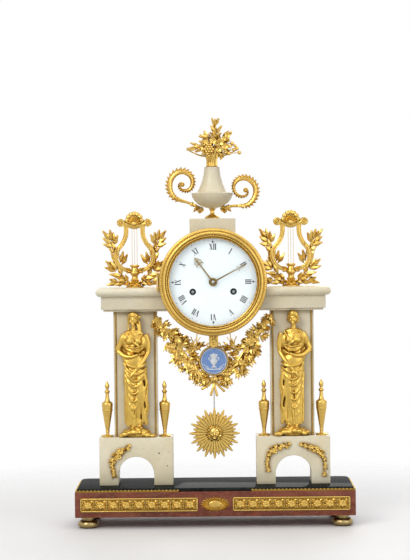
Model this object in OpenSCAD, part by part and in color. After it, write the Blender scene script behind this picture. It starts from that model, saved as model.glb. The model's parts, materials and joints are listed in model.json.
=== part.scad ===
// Portico mantel clock with a pendulum: marble case, gilt mounts and a round striking movement.
// Millimetres. X runs to the right, Y to the back and Z up, from the middle of the base's underside.

/* [Base] */
// Width of the red marble block
base_w = 400; // [360:5:440]
// Depth of the base, with the mounts on its front
base_d = 128; // [120:1:150]
// Height of the red marble block
base_h = 36; // [28:1:46]
// Radius of the block's two back corners
base_corner_r = 12; // [4:1:18]
// Thickness of the black marble slab
slab_h = 5; // [3:0.5:8]
// Ledge that the slab leaves for the bead trim
trim_ledge = 3; // [2.8:0.1:5]
// Diameter of one bead of the trim
trim_bead_d = 2.6; // [2:0.1:2.8]
// Length of front trim that is missing in the middle
trim_gap_w = 106; // [60:1:140]
// Height of a bun foot
foot_h = 16.5; // [12:0.5:22]
// Diameter of a bun foot
foot_d = 30; // [24:1:36]
// Distance of a foot's axis from the block's faces
foot_inset = 18; // [18:0.5:26]

/* [Base mounts] */
// Width of a relief plaque
plaque_w = 167; // [140:1:170]
// Height of a relief plaque
plaque_h = 19.3; // [14:0.1:24]
// Thickness of a relief plaque's plate
plaque_t = 1.2; // [0.8:0.1:2]
// Distance of a plaque's middle from the block's end
plaque_inset = 91.5; // [86:0.5:94]
// Width of the oval rosette
rosette_w = 42; // [34:1:46]
// Height of the oval rosette
rosette_h = 22; // [16:1:26]

/* [Pedestals] */
// Distance of a pedestal's middle from the base's end
pedestal_inset = 86.7; // [80:0.1:90]
// Width of a pedestal
pedestal_w = 106; // [104:1:112]
// Depth of a pedestal
pedestal_d = 50; // [46:1:60]
// Height of a pedestal
pedestal_h = 69; // [62:1:80]
// Width of the arch through a pedestal
arch_w = 51.5; // [40:0.5:60]
// Height of the arch's crown
arch_h = 41.4; // [36:0.1:48]

/* [Piers] */
// Width of a pier
pier_w = 63; // [56:1:66]
// Depth of a pier
pier_d = 32; // [28:1:40]
// Height of a pier
pier_h = 181.5; // [165:0.5:200]
// Distance that a pier's axis lies behind the clock's middle plane
pier_back = 8; // [4:0.5:10]
// Width of a beaded strip on a pier's front
strip_w = 2.5; // [1.5:0.1:4]
// Distance of a strip from the pier's edge
strip_inset = 2; // [1:0.1:4]
// Height of an urn finial
finial_h = 81; // [70:1:92]
// Distance of a finial from the pedestal's middle
finial_x = 41.5; // [40:0.1:43]
// Diameter of an urn finial's body
finial_d = 15.8; // [12:0.1:17]

/* [Entablature] */
// How far the frieze runs on past a pier's axis
frieze_end = 48.4; // [40:0.1:56]
// Height of the lower lip
lip_h = 3; // [2:0.1:5]
// Height of the frieze
frieze_h = 18.6; // [14:0.1:24]
// Height of the rounded cornice
cornice_h = 12.4; // [8:0.1:16]
// How far the cornice stands out from the frieze
cornice_out = 7.3; // [5:0.1:10]
// Depth of the frieze
frieze_d = 48; // [42:1:56]
// Width of the marble block above the movement
crown_w = 66; // [54:1:76]
// Depth of the marble block above the movement
crown_d = 46; // [40:1:52]
// Height of the block's top above the dial's middle
crown_rise = 91; // [86:1:100]

/* [Movement case] */
// Height of the dial's middle above the entablature's top
dial_rise = 8; // [0:0.5:14]
// Outer radius of the movement's drum
drum_r = 65; // [63:0.5:66]
// Thickness of the drum's wall
drum_wall = 1.5; // [1:0.1:3]
// Depth of the drum
drum_d = 70; // [69:1:74]
// How far the bezel reaches out past the drum
bezel_out = 12; // [8:0.5:15]
// Width of the dial's rim that the bezel covers
bezel_cover = 1.5; // [1:0.1:4]
// Depth of the bezel
bezel_d = 12; // [11:0.5:16]
// How much smaller the enamel dial is than the drum, in radius
dial_inset = 1; // [0.5:0.1:1.4]
// Thickness of the enamel dial
dial_t = 2; // [1:0.1:3]
// Radius of a hinge's knuckles
knuckle_r = 1.8; // [1.5:0.1:2.4]

/* [Hands] */
// Length of the hour hand
hour_hand_l = 43; // [34:1:46]
// Length of the minute hand
minute_hand_l = 53.5; // [48:0.5:58]
// Angle of the hour hand from twelve
hour_hand_angle = -36.7; // [-180:0.1:180]
// Angle of the minute hand from twelve
minute_hand_angle = 62.3; // [-180:0.1:180]

/* [Movement] */
// Radius of the two plates
plate_r = 50; // [50:0.5:54]
// Thickness of a plate
plate_t = 2; // [1.5:0.1:2.4]
// Distance between the plates
plate_gap = 24; // [24:0.5:25]
// Sideways distance of a winding hole from the middle
winding_x = 29.2; // [29:0.1:30]
// Distance of a winding hole below the middle
winding_drop = 13.9; // [13:0.1:15]
// Radius of a winding hole in the dial
winding_hole_r = 4.8; // [4:0.1:6]
// Radius of a pivot
pivot_r = 0.7; // [0.5:0.05:0.8]
// Radius of a wheel's arbor
arbor_r = 1.1; // [1:0.05:1.2]
// Radial clearance of everything that turns
running_gap = 0.05; // [0.02:0.01:0.08]
// Radius of the bell
bell_r = 34; // [30:0.5:35]

/* [Pendulum] */
// Height of the pendulum's pivot above the dial's middle
pivot_rise = 44; // [44:0.5:45]
// Distance from the pivot to the sun's middle
pendulum_l = 266; // [250:1:275]
// Diameter of the pendulum's rod
rod_d = 1.8; // [1.4:0.1:2.2]
// Length of the sun's longest ray from its middle
sun_r = 38; // [30:1:40]
// Number of long rays round the sun
sun_rays = 18; // [14:1:22]
// Largest swing to each side
swing_angle = 4; // [2:0.5:5]

/* [Vase] */
// Height of the vase's gilt foot
vase_foot_h = 14.4; // [11:0.1:18]
// Radius of the vase's rim
vase_r = 30; // [26:0.5:33]
// Height of the bowl below the rim
bowl_h = 21.6; // [18:0.1:26]
// Height of the bell-shaped cover above the rim
cover_h = 38.5; // [32:0.5:46]
// Radius of the cover's neck
neck_r = 11; // [9:0.5:13]
// Height of the bouquet above the neck
bouquet_h = 71.5; // [60:0.5:80]

/* [Lyres] */
// Height of a lyre
lyre_h = 109.5; // [100:0.5:118]
// Half width of a lyre at its widest
lyre_half_w = 28; // [24:0.5:32]
// Thickness of a lyre's frame
lyre_t = 5; // [4:0.5:7]

/* [Garland] */
// Radius of the medallion's ring
medallion_r = 21.5; // [19:0.5:23]
// Distance of the medallion's middle below the dial's middle
medallion_drop = 114; // [110:1:120]
// Radius of the garland's fullest stretch
garland_r = 12; // [9:0.5:13]

/* [Figures] */
// Height of a figure from its rock to the top of its head
figure_h = 170; // [160:1:174]
// Height of the rock under a figure
rock_h = 10; // [8:0.5:12]

/* [Hidden] */

// Fineness of round things that keep their true curves
round_fn = 64;
// Gap between curved pieces that seat on each other
seat_gap = 0.2;

// Heights, from the floor up
slab_z = foot_h + base_h;
pedestal_z = slab_z + slab_h;
pier_z = pedestal_z + pedestal_h;
lip_z = pier_z + pier_h;
frieze_z = lip_z + lip_h;
cornice_z = frieze_z + frieze_h;
entablature_z = cornice_z + cornice_h;
dial_z = entablature_z + dial_rise;
crown_z = dial_z + crown_rise;
bowl_z = crown_z + vase_foot_h;
rim_z = bowl_z + bowl_h;
neck_z = rim_z + cover_h;

// Places across the clock, and the round case
pedestal_x = base_w / 2 - pedestal_inset;
plaque_x = base_w / 2 - plaque_inset;
frieze_half_w = pedestal_x + frieze_end;
bezel_r = drum_r + bezel_out;
dial_r = drum_r - dial_inset;
bezel_opening_r = dial_r - bezel_cover;

// Planes from front to back
mount_out = 3.2;
block_d = base_d - mount_out;
block_mid = mount_out / 2;
base_front = block_mid - block_d / 2;
pier_front = pier_back - pier_d / 2;
entablature_mid = 2;
drum_front = -34;
drum_back = drum_front + drum_d;
flange_t = 2;
flange_r = bezel_r - 2;
dial_front = drum_front - dial_t;
web_t = 2;
web_r = 44;
post_ring_r = web_r + 2.6;
front_plate_y = drum_front + web_t + 10;
back_plate_y = front_plate_y + plate_t + plate_gap;
front_gap_y = front_plate_y + plate_t;

// Gearing: teeth and modules, and the arbors that follow from them
great_m = 0.7;
great_teeth = 54;
second_leaves = 9;
wheel_m = 0.5;
going_second_teeth = 60;
centre_leaves = 10;
centre_teeth = 60;
third_leaves = 8;
third_m = 0.45;
third_teeth = 60;
escape_leaves = 8;
escape_teeth = 30;
escape_r = 9;
strike_second_teeth = 52;
pin_leaves = 8;
pin_m = 0.4;
pin_teeth = 48;
fly_leaves = 7;
cannon_m = 0.5;
cannon_teeth = 12;
minute_teeth = 36;
hour_m = 0.48;
minute_leaves = 10;
hour_teeth = 40;

going_barrel_at = [winding_x, -winding_drop];
strike_barrel_at = [-winding_x, -winding_drop];
centre_at = [0, 0];
escape_at = [0, 30];
anchor_at = [0, pivot_rise];
second_reach = (great_teeth + second_leaves) * great_m / 2;
centre_reach = (going_second_teeth + centre_leaves) * wheel_m / 2;
going_second_at = crossing(centre_at, centre_reach, going_barrel_at, second_reach, 1);
third_reach = (centre_teeth + third_leaves) * wheel_m / 2;
escape_reach = (third_teeth + escape_leaves) * third_m / 2;
third_at = crossing(centre_at, third_reach, escape_at, escape_reach, 1);
strike_second_at = strike_barrel_at + polar(second_reach, 100);
pin_reach = (strike_second_teeth + pin_leaves) * wheel_m / 2;
pin_at = strike_second_at + polar(pin_reach, 40);
fly_reach = (pin_teeth + fly_leaves) * pin_m / 2;
fly_at = pin_at + polar(fly_reach, 60);
motion_reach = (cannon_teeth + minute_teeth) * cannon_m / 2;
minute_wheel_at = [0, motion_reach];
hammer_at = [-34, 30];

wheel_t = 1.4;
barrel_r = 17;
winding_r = 2;
square_w = 2.8;
cannon_r = 2;
hour_pipe_r = 3.2;
pendulum_y = back_plate_y + plate_t + 7;
rod_r = rod_d / 2;
sun_z = dial_z + pivot_rise - pendulum_l;

// The angle of q seen from p
function bearing(p, q) = atan2(q[1] - p[1], q[0] - p[0]);
function polar(r, a) = [r * cos(a), r * sin(a)];
function mix(a, b, t) = a + (b - a) * t;

// Where circles of radius ra round a and rb round b meet, on the side that s picks
function crossing(a, ra, b, rb, s) =
    let (
        d = norm(b - a),
        along = (ra * ra - rb * rb + d * d) / (2 * d),
        across = sqrt(ra * ra - along * along),
        u = (b - a) / d
    )
    [a[0] + u[0] * along + s * u[1] * across, a[1] + u[1] * along - s * u[0] * across];

// A smooth curve through points, with steps points to each stretch
function spline(p, steps) = [
    for (i = [0:len(p) - 2])
        for (j = [0:steps - (i == len(p) - 2 ? 0 : 1)])
            spline_at(p[max(i - 1, 0)], p[i], p[i + 1], p[min(i + 2, len(p) - 1)], j / steps)
];
function spline_at(a, b, c, d, t) =
    0.5 * (2 * b + (c - a) * t + (2 * a - 5 * b + 4 * c - d) * t * t + (3 * b - a - 3 * c + d) * t * t * t);

// The outline of a band along a curve, with a half width for each point of it
function side_step(c, i) =
    let (d = c[min(i + 1, len(c) - 1)] - c[max(i - 1, 0)])
    [-d[1], d[0]] / norm(d);
function band(c, w) = uneven_band(c, w, w);
function uneven_band(c, w_left, w_right) = concat(
    [for (i = [0:len(c) - 1]) c[i] + side_step(c, i) * w_left[i]],
    [for (i = [len(c) - 1:-1:0]) c[i] - side_step(c, i) * w_right[i]]
);

// Extrudes a drawing of the front view, from y towards the back by t
module front_view(y, t) {
    translate([0, y + t, 0])
        rotate([90, 0, 0])
            linear_extrude(t)
                children();
}

// A cylinder along Y in the movement, from its front y, about a place given from the dial's middle
module y_rod(at, y, l, r) {
    translate([at[0], y, dial_z + at[1]])
        rotate([-90, 0, 0])
            cylinder(h = l, r = r, $fn = round_fn);
}

// Turns a profile of radius and distance to the back round the movement's axis
module turned_case() {
    translate([0, 0, dial_z])
        rotate([-90, 0, 0])
            rotate_extrude($fn = 128)
                children();
}

// A ridged leaf that lies in the front view, with its stalk at the origin, along X
module leaf(l, w, t) {
    polyhedron(
        points = [
            [0, 0, 0], [l * 0.42, 0, w / 2], [l, 0, 0],
            [l * 0.42, 0, -w / 2], [l * 0.36, -t / 2, 0], [l * 0.36, t / 2, 0]
        ],
        faces = [[1, 4, 0], [2, 4, 1], [3, 4, 2], [0, 4, 3], [5, 1, 0], [5, 2, 1], [5, 3, 2], [5, 0, 3]]
    );
}

// A branch in the front view: a stem along path at y, with pairs of ridged leaves
module branch(path, y, stem_r, leaf_l, leaf_w, leaf_t, spread) {
    n = len(path);
    for (i = [0:n - 2]) {
        p = path[i];
        q = path[i + 1];
        swell = leaf_l * (0.7 + 0.3 * sin(180 * i / (n - 1)));
        limb([p[0], y, p[1]], stem_r, [q[0], y, q[1]], stem_r, 4);
        for (k = [-1, 1])
            placed_leaf(p[0], y + k * 0.2, p[1], bearing(p, q) + k * spread, swell, leaf_w, leaf_t);
    }
    tip = path[n - 1];
    placed_leaf(tip[0], y, tip[1], bearing(path[n - 2], tip), leaf_l, leaf_w, leaf_t);
}

module placed_leaf(x, y, z, angle, l, w, t) {
    translate([x, y, z])
        rotate([0, -angle, 0])
            leaf(l, w, t);
}

// A limb or stem between two balls
module limb(a, ra, b, rb, fn) {
    hull() {
        translate(a)
            sphere(ra, $fn = fn);
        translate(b)
            sphere(rb, $fn = fn);
    }
}

// Base

module base_outline(inset) {
    w = base_w - 2 * inset;
    d = block_d - 2 * inset;
    r = base_corner_r - inset * 0.3;
    translate([0, block_mid]) {
        translate([-w / 2, -d / 2])
            square([w, d - r]);
        translate([-w / 2 + r, -d / 2])
            square([w - 2 * r, d]);
        for (s = [-1, 1])
            translate([s * (w / 2 - r), d / 2 - r])
                circle(r, $fn = round_fn);
    }
}

module base_block() {
    color("#6b3028")
        translate([0, 0, foot_h])
            linear_extrude(base_h)
                base_outline(0);
}

module base_top_slab() {
    color("#1d211f")
        translate([0, 0, slab_z])
            linear_extrude(slab_h)
                base_outline(trim_ledge);
}

module base_bead_trim() {
    rail_h = trim_bead_d * 0.9;
    color("#d4aa3c")
        translate([0, 0, slab_z])
            difference() {
                linear_extrude(rail_h)
                    base_outline(trim_ledge - trim_bead_d);
                translate([0, 0, -1])
                    linear_extrude(rail_h + 2)
                        base_outline(trim_ledge);
                translate([-trim_gap_w / 2, base_front - 1, -1])
                    cube([trim_gap_w, trim_ledge + 2, rail_h + 2]);
            }
}

module plaque(x) {
    border = 1.6;
    relief = 1;
    buds = 9;
    bud_step = (plaque_w - 4 * border) / buds;
    translate([x - plaque_w / 2, base_front, foot_h + base_h / 2 - plaque_h / 2]) {
        translate([0, -plaque_t, 0])
            cube([plaque_w, plaque_t, plaque_h]);
        for (z = [0, plaque_h - border])
            translate([0, -plaque_t - relief, z])
                cube([plaque_w, relief, border]);
        for (e = [0, plaque_w - border])
            translate([e, -plaque_t - relief, border])
                cube([border, relief, plaque_h - 2 * border]);
        for (i = [0:buds - 1])
            translate([2 * border + bud_step * (i + 0.5), -plaque_t - relief, plaque_h / 2])
                rotate([-90, 0, 0])
                    cylinder(h = relief, r1 = 2.2, r2 = bud_step * 0.36, $fn = round_fn);
    }
}

// Oval sunflower in the middle of the front
module rosette() {
    petals = 22;
    petal_in = 0.8;
    oval_steps = 32;
    translate([0, 0, foot_h + base_h / 2]) {
        front_view(base_front - 2, 2)
            polygon([
                for (i = [0:petals * 2 - 1])
                    let (a = i * 180 / petals, k = i % 2 == 0 ? 1 : petal_in)
                    [rosette_w / 2 * k * cos(a), rosette_h / 2 * k * sin(a)]
            ]);
        front_view(-base_d / 2, mount_out - 1.8)
            polygon([
                for (i = [0:oval_steps - 1])
                    let (a = i * 360 / oval_steps)
                    [rosette_w * 0.24 * cos(a), rosette_h * 0.24 * sin(a)]
            ]);
    }
}

module base_plaques() {
    color("#d4aa3c") {
        plaque(-plaque_x);
        plaque(plaque_x);
        rosette();
    }
}

module foot(x, y) {
    bun_h = foot_h * 0.68;
    neck_r = foot_d * 0.27;
    collar_h = foot_h * 0.14;
    translate([x, y, 0])
        rotate_extrude($fn = round_fn) {
            square([neck_r, foot_h]);
            square([foot_d / 2 - bun_h / 2, bun_h]);
            translate([foot_d / 2 - bun_h / 2, bun_h / 2])
                intersection() {
                    circle(d = bun_h, $fn = round_fn);
                    translate([0, -bun_h])
                        square([bun_h, 2 * bun_h]);
                }
            translate([0, foot_h - collar_h])
                square([neck_r * 1.3, collar_h]);
        }
}

module feet(side) {
    color("#b8913a")
        for (y = [-1, 1])
            foot(side * (base_w / 2 - foot_inset), block_mid + y * (block_d / 2 - foot_inset));
}

module feet_left() {
    feet(-1);
}

module feet_right() {
    feet(1);
}

// Pedestals and piers

module pedestal(side) {
    arch_r = arch_w / 2;
    color("#e9e2cc")
        translate([side * pedestal_x, 0, pedestal_z])
            difference() {
                translate([-pedestal_w / 2, -pedestal_d / 2, 0])
                    cube([pedestal_w, pedestal_d, pedestal_h]);
                translate([-arch_r, -pedestal_d / 2 - 1, -1])
                    cube([arch_w, pedestal_d + 2, arch_h - arch_r + 1]);
                translate([0, -pedestal_d / 2 - 1, arch_h - arch_r])
                    rotate([-90, 0, 0])
                        cylinder(h = pedestal_d + 2, r = arch_r, $fn = round_fn);
            }
}

module pedestal_left() {
    pedestal(-1);
}

module pedestal_right() {
    pedestal(1);
}

// One gilt spray that hangs over an arch's shoulder, from the crown outwards and down
module spray(middle, out) {
    spray_t = 2.6;
    y = -pedestal_d / 2 - spray_t / 2;
    top = pedestal_z + pedestal_h;
    path = spline([
        [middle + out * 5, top - 10],
        [middle + out * 24, top - 13],
        [middle + out * 36, top - 27],
        [middle + out * 39, top - 48]
    ], 2);
    branch(path, y, spray_t / 2, 8, 4, spray_t, 42);
    for (i = [3:5])
        translate([path[i][0], y - 1.3, path[i][1]])
            sphere(2.4, $fn = 6);
}

module pedestal_sprays() {
    color("#d4aa3c") {
        spray(-pedestal_x, -1);
        spray(pedestal_x, -1);
        spray(pedestal_x, 1);
    }
}

module pier(side) {
    color("#ebe5d2")
        translate([side * pedestal_x - pier_w / 2, pier_front, pier_z])
            cube([pier_w, pier_d, pier_h]);
}

module pier_left() {
    pier(-1);
}

module pier_right() {
    pier(1);
}

module pier_bead_strips() {
    color("#c99c34")
        for (side = [-1, 1], edge = [-1, 1])
            translate([side * pedestal_x + edge * (pier_w / 2 - strip_inset - strip_w / 2), pier_front, pier_z])
                linear_extrude(pier_h)
                    intersection() {
                        circle(d = strip_w, $fn = round_fn);
                        translate([-strip_w, -strip_w])
                            square([2 * strip_w, strip_w]);
                    }
}

// Slender urn with a flame, turned in one piece
module urn_finial() {
    foot_r = finial_d * 0.54;
    body_r = finial_d / 2;
    rotate_extrude($fn = 48)
        polygon(concat(
            [[0, 0], [foot_r, 0], [foot_r, 2], [foot_r * 0.75, 3.4], [2.4, 5], [1.7, 9], [2.4, 11]],
            [for (i = [0:6]) [mix(2.4, body_r, sin(i * 15)), mix(11, finial_h * 0.5, i / 6)]],
            [[body_r, finial_h * 0.55], [body_r * 0.8, finial_h * 0.58], [2.6, finial_h * 0.62]],
            [[1.4, finial_h * 0.72], [2.6, finial_h * 0.76], [1.6, finial_h * 0.8]],
            [for (i = [0:5]) [2.9 * sin(30 + i * 30) + 0.2, mix(finial_h * 0.82, finial_h, i / 5)]],
            [[0, finial_h]]
        ));
}

module urn_finials() {
    color("#c99c34")
        for (side = [-1, 1], edge = [-1, 1])
            translate([side * pedestal_x + edge * finial_x, -10, pier_z])
                urn_finial();
}

// Entablature: the front profile runs the whole width and the end profile the whole depth

function entablature_side(half) = concat(
    [[half - 3.3, 0], [half - 3.3, lip_h], [half, lip_h], [half, lip_h + frieze_h]],
    [
        for (i = [0:8])
            [half + cornice_out - cornice_h / 2, entablature_z - lip_z - cornice_h / 2]
                + polar(cornice_h / 2, 22.5 * i - 90)
    ]
);

module entablature_profile(half) {
    right = entablature_side(half);
    translate([0, lip_z])
        polygon(concat(right, [for (i = [len(right) - 1:-1:0]) [-right[i][0], right[i][1]]]));
}

module entablature(side) {
    reach = frieze_half_w + cornice_out + 5;
    color("#e9e2cc")
        difference() {
            intersection() {
                front_view(-base_d, 2 * base_d)
                    entablature_profile(frieze_half_w);
                translate([-reach, entablature_mid, 0])
                    rotate([90, 0, 90])
                        linear_extrude(2 * reach)
                            entablature_profile(frieze_d / 2);
                translate([side * reach - reach, -base_d, lip_z - 1])
                    cube([2 * reach, 2 * base_d, entablature_z]);
            }
            y_rod([0, 0], -base_d, 2 * base_d, drum_r + seat_gap);
        }
}

module entablature_left() {
    entablature(-1);
}

module entablature_right() {
    entablature(1);
}

module crown_block() {
    block_h = crown_rise - sqrt(drum_r * drum_r - crown_w * crown_w / 4) + 4;
    color("#ebe5d2")
        difference() {
            translate([-crown_w / 2, entablature_mid - crown_d / 2, crown_z - block_h])
                cube([crown_w, crown_d, block_h]);
            y_rod([0, 0], -base_d, 2 * base_d, drum_r + seat_gap);
        }
}

// Vase

module vase_foot() {
    color("#d4aa3c")
        translate([0, entablature_mid, crown_z])
            rotate_extrude($fn = round_fn)
                polygon([
                    [0, 0], [11.3, 0], [11.3, 1.2], [9.5, 3.2], [6.5, 5], [4, 6.2], [3.2, 7.5],
                    [3, vase_foot_h - 3], [4.6, vase_foot_h - 1.6], [5.4, vase_foot_h], [0, vase_foot_h]
                ]);
}

module vase_body() {
    lip = 1.8;
    color("#ebe5d2")
        translate([0, entablature_mid, bowl_z])
            rotate_extrude($fn = 96)
                polygon(concat(
                    [[0, 0]],
                    [for (i = [1:9]) [vase_r * mix(sin(i * 10), i / 9, 0.12), bowl_h * (1 - cos(i * 10))]],
                    [[vase_r, bowl_h + lip / 2]],
                    [
                        for (i = [0:10])
                            let (t = i / 10)
                            [mix(neck_r, vase_r * 0.72, pow(1 - t, 1.8)), mix(bowl_h + lip, bowl_h + cover_h, t)]
                    ],
                    [[0, bowl_h + cover_h]]
                ));
}

// Leafy scroll: its points run from under the bowl to the eye, each with half the band's width,
// measured from the bowl's foot on a vase with a rim of 30
module scroll_handle(points) {
    steps = 3;
    k = vase_r / 30;
    path = spline([for (p = points) [p[0] * k, bowl_z + p[1] * k]], steps);
    n = len(path);
    last = len(points) - 1;
    core = [
        for (i = [0:n - 1])
            let (t = i / steps, a = floor(t))
            k * mix(points[a][2], points[min(a + 1, last)][2], t - a)
    ];
    bare = 4 * steps;
    tooth = [1.25, 0.95];
    leafy = [for (i = [0:n - 1]) core[i] * (i < bare || i > n - bare ? 1 : tooth[i % 2])];
    color("#d4aa3c") {
        front_view(entablature_mid - 1.8, 3.6)
            polygon(uneven_band(path, core, leafy));
        front_view(entablature_mid - 2.8, 5.6)
            polygon(band(path, core * 0.55));
        front_view(entablature_mid - 3.2, 6.4)
            translate(path[n - 1] - [1.5 * k, 0])
                circle(2.6 * k, $fn = 24);
        front_view(entablature_mid - 2.4, 4.8)
            translate([0, bowl_z])
                scale(k)
                    polygon([
                        [-13, -2], [-15, -5], [-19, -2.4], [-22, -4.2], [-24, -0.6],
                        [-31, 2.4], [-31, 5], [-24, 3.4], [-15, 1]
                    ]);
    }
}

module scroll_handle_left() {
    scroll_handle([
        [-14, 0, 2.2], [-22.3, 3.2, 2.4], [-29.5, 6.6, 2.6], [-36.6, 9.5, 2.6], [-44.7, 12, 3.4],
        [-52.9, 15.8, 4.6], [-59, 22.9, 5], [-61.2, 31.6, 5.3], [-60, 40.7, 5.3], [-54.9, 48.9, 5.3],
        [-46.8, 53.5, 5.1], [-38.6, 52.9, 4.9], [-31.5, 47.9, 4.5], [-28.4, 40.7, 4.1], [-29, 33.6, 3.8],
        [-32.5, 28.5, 3.5], [-37.6, 26.5, 3.2], [-43.7, 27.5, 2.7], [-47.3, 31.6, 2.3], [-46.8, 35.6, 2],
        [-43.7, 37.2, 1.7], [-41.6, 35.2, 1.4]
    ]);
}

module scroll_handle_right() {
    mirror([1, 0, 0])
        scroll_handle([
            [-11.6, -1, 2.2], [-18, 0.4, 2.4], [-24.3, 2.4, 2.5], [-30.4, 3.4, 2.5], [-38.5, 3.6, 3],
            [-46.6, 4, 4], [-53.8, 6.6, 4.6], [-59.9, 13.3, 4.8], [-62.9, 21.4, 5], [-62.4, 30.6, 5],
            [-57.8, 38.2, 5], [-50.7, 42.8, 4.8], [-42.6, 43.3, 4.5], [-35.6, 39.7, 4], [-31.8, 33.6, 3.3],
            [-31.9, 26.5, 3], [-35.6, 20.4, 3], [-41.5, 17.3, 2.7], [-47.7, 17.8, 2.3], [-51.2, 21.4, 2],
            [-50.7, 25.5, 1.7], [-47.1, 26.3, 1.4]
        ]);
}

// Leaves, grapes and berries that stand in the vase's neck
module bouquet() {
    y = entablature_mid;
    cup_h = 14;
    root = neck_z + cup_h;
    reach = bouquet_h - cup_h;
    berry_r = 2.4;
    twigs = [
        [90, 1], [70, 0.84], [110, 0.78], [50, 0.8], [130, 0.76], [30, 0.66], [150, 0.72], [12, 0.56], [168, 0.5]
    ];
    color("#d4aa3c") {
        translate([0, y, neck_z])
            cylinder(h = cup_h, r1 = neck_r * 0.75, r2 = neck_r * 0.95, $fn = 10);
        for (f = twigs) {
            l = reach * f[1];
            lean = y - 3 * cos(f[0] * 3);
            limb([0, y, root - 3], 2, [l * 0.66 * cos(f[0]), lean, root + l * 0.66 * sin(f[0])], 1, 5);
            for (k = [-1, 0, 1])
                placed_leaf(
                    l * 0.6 * cos(f[0]), lean + k, root + l * 0.6 * sin(f[0]),
                    f[0] + k * 40, l * (k == 0 ? 0.4 : 0.28), l * 0.15, 4
                );
        }
        for (row = [0:3], i = [0:2])
            translate([-6 + (i - 1) * 4.2 * (1 - row * 0.2), y - 6 + row * 0.8, root + 12 - row * 4.4])
                sphere(berry_r + 0.4, $fn = 6);
        for (k = [0:3]) {
            at = [20 + k * 4.4, y - 3 + (k % 2) * 2, root + 17 - k * 1.6 + (k % 2) * 4];
            limb([6, y, root + 6], 0.9, at, 0.9, 4);
            translate(at)
                sphere(berry_r, $fn = 6);
        }
    }
}

// Lyres

module lyre(side) {
    w = lyre_half_w;
    h = lyre_h;
    arm = spline([
        [2, h * 0.2], [w * 0.6, h * 0.24], [w * 0.93, h * 0.36], [w * 0.93, h * 0.5],
        [w * 0.68, h * 0.63], [w * 0.46, h * 0.75], [w * 0.5, h * 0.86]
    ], 4);
    n = len(arm);
    widths = [for (i = [0:n - 1]) mix(3.2, 2.3, i / (n - 1))];
    yoke = spline([[0, h * 0.84], [w * 0.4, h * 0.86], [w * 0.75, h * 0.85], [w * 0.9, h * 0.86]], 4);
    color("#d4aa3c")
        translate([side * pedestal_x, pier_back - 4, entablature_z]) {
            rotate_extrude($fn = round_fn)
                polygon([
                    [0, 0], [13, 0], [13, 1.5], [9, 3.5], [6, 6], [5, 9], [6.5, 11], [5, 13], [4.4, 17],
                    [6.8, 20], [7.2, 22.5], [5.5, 25], [5, 29], [7, 31], [7, 33], [0, 33]
                ]);
            for (m = [-1, 1])
                scale([m, 1, 1]) {
                    front_view(-lyre_t / 2, lyre_t)
                        polygon(band(arm, widths));
                    front_view(-lyre_t / 2, lyre_t)
                        polygon(band(yoke, [for (i = [0:len(yoke) - 1]) 3]));
                    front_view(-lyre_t / 2, lyre_t)
                        translate([w * 0.88, h * 0.85])
                            circle(4.6, $fn = 32);
                }
            front_view(-lyre_t / 2 - 1, lyre_t + 1)
                polygon(concat(
                    [[-w * 0.42, h * 0.85]],
                    [
                        for (i = [0:28])
                            let (a = 180 - i * 180 / 28, r = h * 0.145 * (1 + 0.05 * cos(i * 90)))
                            [r * 0.8 * cos(a), h * 0.852 + r * sin(a)]
                    ],
                    [[w * 0.42, h * 0.85], [0, h * 0.81]]
                ));
        }
}

module lyre_left() {
    lyre(-1);
}

module lyre_right() {
    lyre(1);
}

module lyre_strings() {
    string_r = 0.45;
    color("#d8c48a")
        for (side = [-1, 1], i = [-1, 0, 1])
            translate([side * pedestal_x + i * 3.6, pier_back - 4, entablature_z + 33])
                cylinder(h = lyre_h * (i == 0 ? 0.81 : 0.817) - 33, r = string_r, $fn = round_fn);
}

// Two branches that rise from the lyre's foot and climb beside it
module laurel(side) {
    laurel_t = 3.2;
    y = pier_back - 4 + lyre_t / 2 + seat_gap + laurel_t / 2;
    color("#d4aa3c")
        translate([side * pedestal_x, 0, entablature_z]) {
            for (m = [-1, 1])
                branch(
                    spline([[m * 2, 4], [m * 18, 10], [m * 31, 29], [m * 30, 50], [m * 35, 70]], 2),
                    y, 1.3, 14, 6.4, laurel_t, 36
                );
            translate([-9, y - 1.2, 0.1])
                cube([18, 2.4, 6]);
        }
}

module laurel_left() {
    laurel(-1);
}

module laurel_right() {
    laurel(1);
}

// Garland and medallion

medallion_z = dial_z - medallion_drop;
medallion_y = -20;

knot_z = medallion_z - medallion_r - 9;
knot_y = pier_front - 7;

// Festoon of leaves and flowers from a pier's top down to the knot under the medallion
module garland(side) {
    end_x = pedestal_x - pier_w / 2;
    path = spline([
        [side * (end_x + 4), lip_z - 10],
        [side * (end_x - 12), lip_z - 25],
        [side * (medallion_r + 27.5), medallion_z + 24],
        [side * (medallion_r + 14), medallion_z],
        [side * 17, knot_z + 1]
    ], 2);
    n = len(path);
    color("#d4aa3c") {
        for (i = [0:n - 2]) {
            p = path[i];
            q = path[i + 1];
            r = mix(4, garland_r, sin(180 * (i + 0.5) / n));
            y = pier_front - 0.3 - r * 0.8;
            a = bearing(p, q);
            limb([p[0], y, p[1]], r * 0.7, [q[0], y, q[1]], r * 0.7, 6);
            for (k = [-1, 1])
                placed_leaf(p[0], y - 2, p[1], a + k * 62, r * (k == -side ? 0.9 : 1.6), r * 0.9, 7);
            translate([p[0], y - r * 0.6, p[1]])
                sphere(r * 0.5, $fn = 6);
        }
        limb([side * 42, knot_y, medallion_z + 14], 0.9, [side * 25, knot_y, dial_z - 61], 0.9, 5);
    }
}

module garland_left() {
    garland(-1);
}

module garland_right() {
    garland(1);
}

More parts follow.
